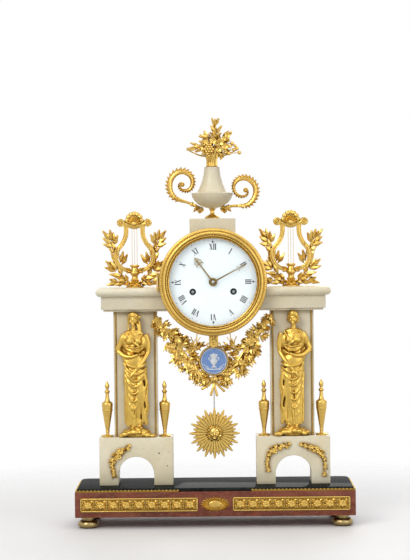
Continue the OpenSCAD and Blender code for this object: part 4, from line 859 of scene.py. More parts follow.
def laurel(side, s):
    draw = random.Random(7 + side)
    x, y, z = side * pierX, s["y"] + 4.2, s["foot"]
    parts = []
    for way in (-1, 1):
        parts.append(rod([(x + way * lx, y - 1, z + lz) for lx, lz in laurelStem], [2.0, 1.8, 1.7, 1.5, 1.4, 1.3, 1.2, 0.9], 1, 5))
        parts.append(rod([(x + way * lx, y - 1, z + lz) for lx, lz in laurelTwig], [1.4, 1.2, 0.9], 1, 4))
        for x1, z1, x2, z2 in laurelLeaves:
            tipX, tipZ = x2 + draw.uniform(-0.8, 0.8), max(4.2, z2 + draw.uniform(-0.8, 0.8))
            long = math.hypot(tipX - x1, tipZ - z1)
            lean = math.degrees(math.atan2(tipZ - z1, way * (tipX - x1)))
            size = (long / 10, 1.5, min(1.8, 0.55 + long * 0.085))
            place = (x + way * x1, y - 1.6 - draw.uniform(0, 2.4), z + z1)
            parts.append(leafAt(place, lean, size, draw.uniform(2, 12), draw.uniform(-24, 24)))
        for bx, bz in laurelBerries:
            parts.append(berryAt((x + way * bx, y - 4.2, z + bz), draw.uniform(1.5, 2.0)))
    return parts


for side, word in ((-1, "left"), (1, "right")):
    gilded(lyre(side, lyreSet), word + "Lyre", ["lyre_" + word])
    gilded(laurel(side, lyreSet), word + "Laurel", ["laurel_" + word])
print("lyres done")

# Scroll handles and bouquet, with the bouquet's foot

# (x, z, half width) from under the bowl to the eye
handlePoints = {
    "left": [
        (-14, 0, 2.2), (-22.3, 3.2, 2.4), (-29.5, 6.6, 2.6), (-36.6, 9.5, 2.6), (-44.7, 12, 3.4), (-52.9, 15.8, 4.6),
        (-59, 22.9, 5),
        (-61.2, 31.6, 5.3), (-60, 40.7, 5.3), (-54.9, 48.9, 5.3), (-46.8, 53.5, 5.1), (-38.6, 52.9, 4.9), (-31.5, 47.9, 4.5),
        (-28.4, 40.7, 4.1), (-29, 33.6, 3.8), (-32.5, 28.5, 3.5), (-37.6, 26.5, 3.2), (-43.7, 27.5, 2.7), (-47.3, 31.6, 2.3),
        (-46.8, 35.6, 2), (-43.7, 37.2, 1.7), (-41.6, 35.2, 1.4),
    ],
    "right": [
        (11.6, -1, 2.2), (18, 0.4, 2.4), (24.3, 2.4, 2.5), (30.4, 3.4, 2.5), (38.5, 3.6, 3), (46.6, 4, 4), (53.8, 6.6, 4.6),
        (59.9, 13.3, 4.8), (62.9, 21.4, 5), (62.4, 30.6, 5), (57.8, 38.2, 5), (50.7, 42.8, 4.8), (42.6, 43.3, 4.5),
        (35.6, 39.7, 4),
        (31.8, 33.6, 3.3), (31.9, 26.5, 3), (35.6, 20.4, 3), (41.5, 17.3, 2.7), (47.7, 17.8, 2.3), (51.2, 21.4, 2),
        (50.7, 25.5, 1.7), (47.1, 26.3, 1.4),
    ],
}
# scales: lean from the path, length and width in half widths, depth, tilt
handleSet = {
    "steps": 4, "bare": 18, "tube": 0.62,
    "scales": [(62, 1.45, 0.9, -0.9, 6), (28, 1.3, 1.05, -2.1, 15), (-42, 1.1, 0.9, -1.6, 12)],
}
eyeProfile = [
    (0, -3.4), (1.6, -3.2), (2.2, -2.4), (2.8, -2.9), (3.5, -2.4), (3.7, 0), (3.5, 2.4), (2.8, 2.9), (2.2, 2.4), (1.6, 3.2),
    (0, 3.4),
]
bowlZ = 455.4
vaseY = 2.0


def scrollHandle(points, way, s):
    line = smoothPath([(x, z + bowlZ, w) for x, z, w in points], s["steps"])
    count = len(line)
    path = [Vector((p.x, vaseY, p.y)) for p in line]
    tube = [p.z * (s["tube"] if i > s["bare"] else 0.8) for i, p in enumerate(line)]
    parts = [rod(path, tube, 2)]
    for i in range(s["bare"], count - 3, 2):
        w = line[i].z
        along = math.degrees(math.atan2(path[i + 1].z - path[i].z, path[i + 1].x - path[i].x))
        for lean, long, wide, depth, tilt in s["scales"]:
            size = (w * long / 10, 1.3, w * wide / 4.2)
            aim = along + way * lean
            for face in (-1, 1):
                at = (path[i].x, vaseY + face * depth * w * 0.22, path[i].z)
                parts.append(leafAt(at, aim, size, -face * tilt))
    eye = path[-1] + Vector((-1.5 * way, 0, 0))
    parts.append(turned(eyeProfile, eye, 24, "Y"))
    collar = path[8]
    lean = math.degrees(math.atan2(path[9].z - path[8].z, path[9].x - path[8].x))
    ring = turned([(0, -1.2), (3.3, -1.2), (3.7, 0), (3.3, 1.2), (0, 1.2)], (0, 0, 0), 16)
    ring.data.transform(moved(collar) @ Matrix.Rotation(math.radians(90 - lean), 4, "Y"))
    parts.append(ring)
    for i, turn in ((10, 195), (8, 170), (6, 200), (4, 215), (14, 14), (17, 22)):
        at = path[i]
        aim = lean + (turn if turn < 90 else 360 - turn) if way > 0 else lean - turn
        parts.append(leafAt((at.x, vaseY - 1.4, at.z), aim, (0.85, 1.3, 1.1), 10, 20))
    for x, z, a, length in ((12, 0, -38, 0.8), (15, -0.5, -62, 0.75), (19, 0.5, -80, 0.65), (22, 1.5, -50, 0.8)):
        aim = 180 - a if way > 0 else a
        parts.append(leafAt((-way * x, vaseY - 1.6, bowlZ + z), aim, (length, 1.2, 1.2), 6))
    return parts


for word, points in handlePoints.items():
    gilded(scrollHandle(points, 1 if word == "left" else -1, handleSet), word + "Handle", ["scroll_handle_" + word])

bouquetSet = {
    "neck": 515.5,
    "stems": [(-36, 541), (-15, 562), (3, 584), (12, 570), (27, 561), (37, 540), (-24, 548), (20, 544), (-6, 560)],
    # (x, z) of the base and of the tip
    "leaves": [
        (5, 576, 0, 587), (5.5, 576, 10, 586.5), (5, 572, 5.5, 586), (5, 565, -1.5, 576),
        (5.5, 564, 15.5, 575.5), (5, 559, -3, 566), (6, 558, 14, 565.5), (5, 558, 6, 574),
        (-4, 558, -18.5, 562.5), (-5, 558, -10.5, 568.5), (-2, 556, -13, 556), (15, 557, 29, 563.5), (15, 558, 25.5, 568),
        (13, 555, 23, 557),
        (-20, 543, -37, 540), (-18, 546, -31, 550), (-8, 547, -19, 553.5), (-13, 543, -23.5, 536.5), (-11, 546, -27, 544.5),
        (-6, 540, -15, 533),
        (12, 539, 14.5, 525.5), (8, 538, 19, 531), (17, 546, 30, 543.5), (18, 543, 27, 537), (15, 550, 27, 553),
        (0, 536, -6, 527), (4, 537, 7, 527),
    ],
    "flowers": [
        (12, 551, 6.0), (2, 553, 5.0), (-11, 551, 5.0), (4, 562, 4.4), (19, 545, 5.2), (10, 541, 5.0),
        (-16, 543, 4.6), (-9, 538, 4.4), (23, 561, 4.4), (18, 556, 4.0), (-10, 560, 3.6),
    ],
    "berries": [
        (29.7, 549.5, 3.0), (36.4, 542, 3.0), (40, 536, 3.0), (32.4, 540, 2.8), (25, 535, 3.2),
        (34, 546, 2.4), (-22, 547, 2.2), (20, 536, 2.6), (28, 565, 2.0),
    ],
}
bouquetFoot = [(0, 0), (8.2, 0), (8.6, 1.4), (7.4, 2.6), (6.6, 8), (8.2, 14), (8.8, 18), (7.6, 20), (0, 21)]


def bouquet(s):
    draw = random.Random(11)
    root = s["neck"] + 3
    neck = s["neck"]
    parts = [turned(bouquetFoot, (0, vaseY, neck), 20)]
    for i in range(16):
        dx, dy = polar(7.2, i * 22.5)
        top = polar(9.4, i * 22.5 + 8)
        stalk = [(dx, vaseY + dy, neck + 1), (dx * 0.95, vaseY + dy * 0.95, neck + 9), (top[0], vaseY + top[1], neck + 20)]
        parts.append(rod(stalk, [1.3, 1.1, 1.5], 1, 3))
    for x, z in s["stems"]:
        stalk = [(x * 0.08, vaseY, root + 12), (x * 0.5, vaseY - 1.5, root + (z - root) * 0.62), (x, vaseY - 1, z)]
        parts.append(rod(stalk, [1.6, 1.2, 0.8], 1, 4))
    for x, z, tipX, tipZ in s["leaves"]:
        a, length = math.degrees(math.atan2(tipZ - z, tipX - x)), math.hypot(tipX - x, tipZ - z)
        size = (length / 10, 1.4, 0.45 + length * 0.06)
        parts.append(leafAt((x, vaseY - draw.uniform(0, 4), z), a, size, draw.uniform(4, 22), draw.uniform(-30, 30)))
        parts.append(leafAt((x, vaseY + draw.uniform(0, 4), z), a + draw.uniform(-12, 12), size, -draw.uniform(4, 22)))
    for x, z, r in s["flowers"]:
        parts.append(fiveFlowerAt((x, vaseY - 4.5, z), draw.uniform(0, 72), r / 5))
        parts.append(fiveFlowerAt((x, vaseY + 3.5, z), draw.uniform(0, 72), (r / 5, -r / 5, r / 5)))
    for x, z, r in s["berries"]:
        parts.append(berryAt((x, vaseY - 2.5, z), r))
        parts.append(rod([(x * 0.7, vaseY - 1.5, z - 1), (x, vaseY - 2.5, z)], 0.6, 1))
    for row, wide in enumerate((1, 2, 3, 4, 3, 2)):
        for i in range(wide):
            parts.append(berryAt((-4 + (i - (wide - 1) / 2) * 3.8, vaseY - 8.5 + 0.6 * abs(row - 3), 531.5 + row * 3.2), 2.3))
    for i in range(44):
        dx, dz = polar(math.sqrt(draw.random()), draw.uniform(0, 360))
        at = (4 + 17 * dx, vaseY - 3 + draw.uniform(-4, 7), 546 + 12.5 * dz)
        if i % 3:
            size = draw.uniform(0.75, 1.1)
            lean = math.degrees(math.atan2(dz * 12 + 6, dx * 17)) + draw.uniform(-30, 30)
            parts.append(leafAt(at, lean, (size, 1.2, size * 1.1), draw.uniform(0, 24), draw.uniform(-30, 30)))
        else:
            parts.append(fiveFlowerAt(at, draw.uniform(0, 72), draw.uniform(0.6, 0.85), draw.uniform(-20, 20)))
    return parts


bunch = joined(bouquet(bouquetSet), "bouquetBunch")
shape(bunch, lambda p: True, lambda: bpy.ops.mesh.normals_make_consistent(inside=False))
ready(bunch, "bouquetBunch", "case", gilt, ["bouquet"])
print("vase mounts done")

# Festoons, medallion, knot and tassels

# (x, z, half width) along the left festoon
festoonPath = [
    (-84.5, 297, 5), (-76, 289, 8), (-66, 276, 11), (-56.5, 262, 14), (-47, 249, 15), (-37, 235, 14), (-28, 222, 12.5),
    (-18, 212, 8), (-9, 206, 5),
]
festoonSet = {
    "backY": -9.0, "depth": 9.5, "items": 150, "seeds": {"left": 23, "right": 31},
    # (x, z) of the low and of the high end of the straws
    "straws": ((26, 252, 22.5, 288), (34, 250, 19, 270), (24, 250, 33, 271), (36, 244, 26, 268), (30, 246, 30, 266)),
    "ring": (-61.5, 254, 2.8),
}


def festoon(side, s, seed):
    draw = random.Random(seed)
    line = smoothPath([(-side * x, z, w) for x, z, w in festoonPath], 6)
    count, back = len(line), s["backY"]
    parts = [rod([(p.x, back - 3.5, p.y) for p in line], [max(1.4, p.z * 0.34) for p in line], 1)]
    for i in range(s["items"]):
        t = (i + 0.5) / s["items"] * (count - 1)
        here = line[int(t)].lerp(line[min(int(t) + 1, count - 1)], t % 1)
        ahead = line[min(int(t) + 1, count - 1)] - line[int(t)]
        along = math.degrees(math.atan2(ahead.y, ahead.x))
        out = draw.uniform(-1, 1)
        dx, dz = polar(out * here.z * 0.82, along + 90)
        front = back - 2 - s["depth"] * math.sqrt(1 - 0.75 * out * out) * draw.uniform(0.6, 1.0)
        at = (here.x + dx, front, here.y + dz)
        kind = i % 5
        size = 0.5 + 0.032 * here.z
        if kind in (0, 3):
            parts.append(fiveFlowerAt(at, draw.uniform(0, 72), size * draw.uniform(0.8, 1.1), draw.uniform(-20, 20)))
        elif kind in (1, 4):
            lean = along + (62 if out > 0 else -62) + draw.uniform(-25, 25)
            for turn in (-26, 0, 26):
                long = size * draw.uniform(0.95, 1.3)
                parts.append(leafAt(at, lean + turn, (long, 1.1, long * 1.05), draw.uniform(0, 20), draw.uniform(-30, 30)))
        else:
            for turn in range(3):
                bx, bz = polar(1.8, turn * 120 + draw.uniform(0, 60))
                parts.append(berryAt((at[0] + bx, front - 0.8, at[2] + bz), 1.5))
    for i in range(7):
        start, end = line[26 + i * 2], line[-4]
        shiftX = draw.uniform(-4, 4)
        path = [
            (start.x + shiftX, back - 9, start.y + draw.uniform(-3, 5)),
            ((start.x + end.x) / 2 + shiftX * 0.5, back - 10.5, (start.y + end.y) / 2),
            (end.x, back - 7, end.y + i * 0.7),
        ]
        parts.append(rod(path, [1.4, 1.1, 1.0], 1, 5))
    for i in range(6):
        here = line[8 + i * 5]
        dx, dz = polar(draw.uniform(9, 13), draw.uniform(0, 360))
        sprig = [(here.x, back - 6, here.y), (here.x + dx * 0.6, back - 9, here.y + dz * 0.6 + 1), (here.x + dx, back - 8, here.y + dz)]
        parts.append(rod(sprig, [0.9, 0.8, 1.2], 1, 3))
    for i in range(16):
        a, far = draw.uniform(20, 200), draw.uniform(3, 9)
        a = a if side > 0 else 180 - a
        dx, dz = polar(far, a)
        at = (side * (33 - i * 0.7) + dx * 0.5, back - 6 - draw.uniform(0, 3), 250 + (i % 8) + dz * 0.6)
        size = draw.uniform(0.8, 1.15)
        parts.append(leafAt(at, a + draw.uniform(-30, 30), (size, 1.2, size), draw.uniform(0, 16), draw.uniform(-25, 25)))
    for lowX, low, topX, top in s["straws"]:
        parts.append(rod([(side * lowX, back - 8, low), (side * topX, back - 8.5, top)], 0.85, 1))
    if side < 0:
        x, z, radius = s["ring"]
        loop = [polar(radius, i * 30) for i in range(12)]
        parts.append(rod([(x + dx, back - 6, z + dz) for dx, dz in loop], 0.9, 1, closed=True))
    return parts


for side, word in ((-1, "left"), (1, "right")):
    gilded(festoon(side, festoonSet, festoonSet["seeds"][word]), word + "Festoon", ["garland_" + word])

medallionSet = {
    "z": 236.0, "y": -20.0, "ring": 21.5, "drumBelow": 65.4, "knotZ": 206.5, "knotY": -15.5,
    # (angle, length)
    "tassels": [(196, 21), (213, 20), (257, 20), (281, 20.5), (315, 20), (334, 21.5)],
}
medallionProfile = [(19.4, -2.4), (19.9, -3.3), (20.6, -3.6), (21.4, -3.1), (21.8, -2.0), (21.8, 1.8), (19.4, 1.8), (19.4, -2.4)]


def medallionFrame(s):
    z, y = s["z"], s["y"]
    parts = [turned(medallionProfile, (0, y, z), 72, "Y")]
    for i in range(56):
        dx, dz = polar(20.7, i * 360 / 56)
        parts.append(beadAt((dx, y - 3.3, z + dz), 0.8))
    top = z + s["ring"]
    parts.append(block((0, y + 0.4, top + 8), (12.5, 3.0, 18), 0.6))
    for way in (-1, 1):
        parts.append(block((way * 4.7, y - 1.4, top + 8), (4.2, 4.6, 17), 0.9))
        parts.append(curl(way * 7.6, y - 2, top + 1.6, 3.0, 1.3, 90, -way, 1.0))
    parts.append(rod([(0, y, top + 10), (0, y, dialZ - s["drumBelow"])], 2.0, 1))
    parts.append(smallFlowerAt((0, y - 4.6, top + 3.6), 15, 1.25))
    knotY, knotZ = s["knotY"], s["knotZ"]
    parts.append(ball((0, knotY, knotZ + 2), (7.6, 5.6, 4.6), 16, 10))
    for way in (-1, 1):
        bow = [(3, knotY - 3, knotZ + 3), (12, knotY - 3.5, knotZ + 7), (17, knotY - 2, knotZ + 3), (9, knotY - 4, knotZ)]
        parts.append(rod([(way * bx, by, bz) for bx, by, bz in bow], 1.5, 1, 5))
        parts.append(leafAt((way * 4, knotY - 3, knotZ + 1), 20 if way > 0 else 160, (1.3, 1, 1), 10))
        parts.append(block((way * 2.4, y + 0.4, knotZ + 5), (2.2, 4, 8), 0.4))
    for i in range(4):
        x = i - 1.5
        band = [(x * 2.6, knotY - 5.0, knotZ - 1.5), (x * 2.2, knotY - 6.2, knotZ + 2), (x * 2.6, knotY - 4.6, knotZ + 5.5)]
        parts.append(rod(band, 1.15, 1, 3))
    for a, length in s["tassels"]:
        bend = 2.4 if a < 270 else -2.4
        middle, tip = polar(length * 0.55, a + bend), polar(length, a)
        end = (tip[0], knotY - 1.5, knotZ + tip[1])
        parts.append(rod([(0, knotY, knotZ), (middle[0], knotY - 2, knotZ + middle[1]), end], [1.5, 1.6, 2.0], 2, 5))
        parts.append(ball(end, 2.05, 10, 8))
    return parts


gilded(medallionFrame(medallionSet), "medallionFrame", ["medallion_ring"])


urnProfile = [
    (0, -9.5), (4.2, -9.5), (4.2, -8.6), (1.5, -7.6), (1.2, -6.4), (3.2, -4.6), (4.8, -1.8),
    (5.0, 0.4), (3.6, 2.2), (3.0, 3.0), (4.4, 3.8), (4.4, 4.4), (0, 4.4),
]


# A plain garden urn with a spray of leaves and flowers, in low relief
def cameoUrn(s):
    parts = [turned(urnProfile, (0, 0, 0), 24)]
    for way in (-1, 1):
        parts.append(rod([(way * 4.6, 0, 0.5), (way * 7.4, 0, 2.6), (way * 6.4, 0, 5.0), (way * 4.0, 0, 3.9)], 0.55, 1, 4))
        parts.append(rod([(way * 1.0, 0, -12.2), (way * 8, 0, -11.6), (way * 13, 0, -9.2)], [0.9, 0.7, 0.4], 1, 4))
        for i in range(4):
            parts.append(leafAt((way * (8 + 2.6 * i), 0, -10.6 + i * 1.5), 64 if way > 0 else 116, (0.34, 0.8, 0.34)))
    for a, length in ((90, 0.72), (64, 0.66), (116, 0.66), (40, 0.6), (140, 0.6), (20, 0.5), (160, 0.5)):
        parts.append(leafAt((0, 0, 4.4), a, (length, 0.8, 0.42)))
    for x, h in ((0, 9.4), (-4, 8.2), (4, 8.2)):
        parts.append(smallFlowerAt((x, -0.6, h), 0, 0.3))
    parts.append(block((0, 0, -12.3), (20, 1.6, 0.8), 0.2))
    ring = turned([(17.4, -0.5), (17.9, -0.9), (18.4, -0.5), (18.4, 0.3), (17.4, 0.3), (17.4, -0.5)], (0, 0, 0), 64, "Y")
    for part in parts:
        part.data.transform(Matrix.Diagonal((1, 0.34, 1, 1)))
    piece = joined([*parts, ring], "cameoRelief")
    piece.data.transform(moved((0, s["y"] - 1.5, s["z"])))
    return piece


ready(cameoUrn(medallionSet), "cameoRelief", "case", cameoWhite)
print("festoons and medallion done")

# Dial, bezel and hands

dialSet = {
    "y": -36.06, "ring": 50.4, "high": 8.9, "thick": 1.5, "thin": 0.55, "serif": 0.4, "gap": 0.9, "dots": 60.2, "quarters": 57.6,
    "holeX": 29.2, "holeDown": 13.9, "shadeY": -33.3, "rimY": -36.0,
}
numerals = ["XII", "I", "II", "III", "IIII", "V", "VI", "VII", "VIII", "IX", "X", "XI"]


def numeral(word, s):
    high, thick, thin, serif = s["high"], s["thick"], s["thin"], s["serif"]
    strokes, x = [], 0.0
    for letter in word:
        if letter == "I":
            strokes.append((x + thick / 2, 0, x + thick / 2, high, thick))
            strokes += [(x - 0.35, z, x + thick + 0.35, z, serif) for z in (0.2, high - 0.2)]
            x += thick + s["gap"]
        elif letter == "V":
            strokes += [(x + 0.7, high, x + 2.5, 0, thick), (x + 4.4, high, x + 2.7, 0, thin)]
            strokes += [(x + a, high - 0.2, x + b, high - 0.2, serif) for a, b in ((-0.3, 1.8), (3.7, 5.1))]
            x += 4.9 + s["gap"]
        else:
            strokes += [(x + 0.7, high, x + 4.0, 0, thick), (x + 4.2, high, x + 0.6, 0, thin)]
            strokes += [(x + a, z, x + b, z, serif) for z in (0.2, high - 0.2) for a, b in ((-0.2, 1.7), (3.1, 5.0))]
            x += 4.8 + s["gap"]
    middle = (x - s["gap"]) / 2
    parts = []
    for x1, z1, x2, z2, wide in strokes:
        long = math.hypot(x2 - x1, z2 - z1)
        bar = block((0, 0, 0), (long, 0.1, wide))
        turn = Matrix.Rotation(-math.atan2(z2 - z1, x2 - x1), 4, "Y")
        bar.data.transform(moved(((x1 + x2) / 2 - middle, 0, (z1 + z2) / 2 - high / 2)) @ turn)
        parts.append(bar)
    return joined(parts, "numeral")


painted = []
for hour, word in enumerate(numerals):
    a = 90 - 30 * hour
    dx, dz = polar(dialSet["ring"], a)
    mark = numeral(word, dialSet)
    mark.data.transform(placing((dx, dialSet["y"], dialZ + dz), a - 90))
    painted.append(mark)
for minute in range(60):
    dx, dz = polar(dialSet["dots"], 6 * minute)
    size = 0.62 if minute % 5 == 0 else 0.36
    painted.append(ball((dx, dialSet["y"], dialZ + dz), (size, 0.08, size), 8, 4))
    if minute % 15 == 0:
        dx, dz = polar(dialSet["quarters"], 6 * minute)
        painted.append(smallFlowerAt((dx, dialSet["y"] + 0.03, dialZ + dz), 0, (0.3, 0.02, 0.3)))
ready(joined(painted, "dialNumerals"), "dialNumerals", "case", blackEnamel)

shadeProfile = [(1.9, 0), (5.4, 0), (5.4, 0.5), (1.9, 0.5), (1.9, 0)]
rimProfile = [(4.75, -0.35), (5.3, -0.5), (5.9, -0.02), (4.75, 0.1), (4.75, -0.35)]
for side, word in ((-1, "strike"), (1, "going")):
    x, z = side * dialSet["holeX"], dialZ - dialSet["holeDown"]
    ready(turned(shadeProfile, (x, dialSet["shadeY"], z), 40, "Y"), word + "HoleShade", "case", blackEnamel)
    ready(turned(rimProfile, (x, dialSet["rimY"], z), 40, "Y"), word + "HoleRim", "case", enamel)


bezelProfile = [
    (77.0, -36.4), (77.3, -36.8), (77.3, -39.6), (77.0, -40.7), (76.5, -41.5), (76.0, -41.9), (75.45, -41.9), (75.25, -42.8),
    (75.4, -44.6), (75.3, -45.8), (74.9, -46.7), (74.2, -47.1), (73.5, -46.9), (73.1, -46.4), (72.4, -46.4), (72.25, -47.3),
    (72.0, -48.2), (71.4, -49.1), (70.6, -49.6), (69.9, -49.7), (69.2, -49.6), (68.6, -49.1), (68.2, -48.2), (68.05, -47.2),
    (67.9, -46.8), (67.3, -46.9), (67.2, -47.3), (66.8, -47.9), (66.2, -48.0), (65.6, -47.6), (65.2, -46.8), (65.0, -45.7),
    (64.6, -45.4), (64.3, -45.9), (63.8, -46.4), (63.2, -46.2), (62.9, -45.5), (62.85, -44.96), (68, -44.96), (76, -36.6),
    (77.0, -36.4),
]
bezelSet = {
    "segments": 160, "ridgeDepth": 0.5,
    # (radius, y, count, half length, half width, tilt) of the ridges
    "rows": [(74.4, -46.8, 156, 1.1, 1.05, -12), (66.2, -47.7, 130, 0.9, 1.0, 12)],
}
bezelParts = [cadCopy("bezel"), turned(bezelProfile, (0, 0, dialZ), bezelSet["segments"], "Y")]
for radius, y, count, long, wide, tilt in bezelSet["rows"]:
    for i in range(count):
        dx, dz = polar(radius, i * 360 / count)
        ridge = ball((0, 0, 0), (long, bezelSet["ridgeDepth"], wide), 6, 5)
        ridge.data.transform(placing((dx, y, dialZ + dz), i * 360 / count, 1, tilt))
        bezelParts.append(ridge)
gilded(bezelParts, "bezelMilled", ["bezel"], 35, giltRing, "bezel")


def handShaft(start, end, wide, tipWide, thick):
    shaft = block(((start + end) / 2, 0, 0), (end - start, thick, 2 * wide), 0.2, 1)
    return shape(shaft, lambda p: p.x > (start + end) / 2, grow(1, 1, tipWide / wide, (end, 0, 0)))


def ring(x, z, rx, rz, thick, points=20):
    path = [(x + rx * math.cos(math.tau * i / points), 0, z + rz * math.sin(math.tau * i / points)) for i in range(points)]
    return rod(path, thick, 1, closed=True)


def hub(bore, outer):
    return turned([(bore, -0.5), (outer, -0.5), (outer + 0.5, 0), (outer, 0.4), (bore, 0.4), (bore, -0.5)], (0, 0, 0), 36, "Y")


def hourHand():
    parts = [handShaft(4.5, 31, 1.25, 0.8, 0.8), handShaft(30, 44.6, 0.55, 0.3, 0.7), hub(2.2, 5.6)]
    for way in (-1, 1):
        parts.append(ring(35.2, way * 2.9, 2.7, 2.2, 0.5))
        parts.append(ring(39.3, way * 1.6, 1.7, 1.3, 0.45))
        parts.append(rod([(31, 0, 0), (32.5, 0, way * 3.4), (31.0, 0, way * 5.2)], [0.6, 0.5, 0.7], 1, 4))
        parts.append(ball((31.0, 0, way * 5.2), (0.9, 0.5, 0.9), 8, 6))
    parts.append(ball((42.3, 0, 0), (1.5, 0.4, 0.95), 10, 6))
    return parts


def minuteHand():
    parts = [handShaft(4.5, 41, 1.15, 0.7, 0.8), handShaft(51, 54.4, 0.9, 0.2, 0.7), hub(1.6, 4.6)]
    parts.append(ring(47.4, 0, 4.6, 1.45, 0.5, 24))
    parts.append(handShaft(42, 52, 0.3, 0.3, 0.6))
    for way in (-1, 1):
        parts.append(rod([(40.5, 0, 0), (41.6, 0, way * 2.0), (40.4, 0, way * 3.1)], [0.6, 0.5, 0.6], 1, 4))
        parts.append(ball((40.4, 0, way * 3.1), (0.75, 0.5, 0.75), 8, 6))
    return parts


# y of each hand, and its angle from XII to the left
handSet = {"hour": (-38.6, 36.7), "minute": (-41.6, -62.3), "bossY": -41.8}
bossProfile = [(0, -1.3), (0.9, -1.3), (1.9, -0.8), (2.4, -0.1), (2.4, 0.5), (0, 0.5)]
for word, parts in (("hour", hourHand()), ("minute", minuteHand())):
    y, angle = handSet[word]
    hand = joined(parts, word + "Hand")
    hand.data.transform(placing((0, y, dialZ), 90 + angle))
    ready(hand, word + "HandPierced", word + "_arbor", handBrass, [word + "_hand"])
boss = turned(bossProfile, (0, handSet["bossY"], dialZ), 24, "Y")
ready(boss, "handBoss", "minute_arbor", steel)
print("dial done")

# Figures on the piers, in millimetres from the middle of the rock: x to the right, y to the back

figureSet = {"y": -17.0, "z": 126.5, "depth": 8.7, "voxel": 0.7, "keep": 0.4}
bodyBalls = [
    ((-9.5, 0.5, 137), (9.5, 6, 13)), ((7, 0.5, 137), (9.5, 6, 13)), ((-2, 4.4, 126), (19, 3.8, 30)),
    ((-1, 4, 84), (17, 4, 34)),
    ((0.5, 4, 48), (16.5, 4, 36)), ((-2, -1, 143), (14, 7.2, 9)), ((-8, -5.6, 139), 5.2), ((5, -5.6, 139), 5.2),
    ((-2, 0, 127), (11.6, 7, 12)), ((-1, 0, 109), (15.8, 8.3, 13)), ((-2, 0, 151), (13.5, 5.2, 5)),
    ((-1, -0.5, 95), (15, 7.8, 13)),
    ((0, 0, 74), (13.5, 7.4, 18)), ((0, 0.5, 44), (12, 7, 24)), ((0, 0.5, 22), (11.5, 6.6, 12)),
]
# (points, radii)
limbs = [
    ([(-2, 1, 152), (-2, 0, 165)], [4.0, 3.5]),
    ([(-15, 0.5, 149), (-20.5, 0.5, 138), (-25.4, 0.5, 125.5)], [4.7, 4.3, 3.6]),
    ([(-25.4, 0.5, 125), (-15, -5.5, 117.4), (-4, -8.8, 116.4)], [3.5, 3.1, 2.2]),
    ([(-4, -9, 116.6), (1, -9.4, 118.6), (4, -9.2, 120)], [2.2, 2.1, 1.2]),
    ([(-2, -9.6, 116.2), (3, -9.8, 117.4)], [1.1, 0.9]),
    ([(15, 0.5, 148.5), (18.6, 1, 136), (18.2, 0.5, 121.5)], [4.7, 4.2, 3.6]),
    ([(18.2, 0.3, 121.5), (9, -6.4, 107), (-3, -9.4, 92.5)], [3.5, 3.1, 2.1]),
    ([(-3, -9.6, 92.5), (-6.5, -10, 88.5), (-8.5, -9.6, 85)], [2.3, 2.2, 1.1]),
    ([(-5, -10.2, 90), (-9.4, -9.6, 87.5)], [1.0, 0.8]),
    ([(-6, -0.6, 100), (-6.5, -2, 60), (-5, -0.5, 17)], [8.2, 6.6, 4.6]),
    ([(6, -1, 98), (5.4, -4.2, 67), (3.6, -1.6, 40), (4.5, -1.4, 17)], [8.2, 5.6, 4.8, 3.4]),
    ([(-4, -1, 16), (-5.5, -8.6, 13)], [3.2, 2.0]),
    ([(5, -1, 16), (8.5, -8.8, 13)], [3.2, 2.0]),
]
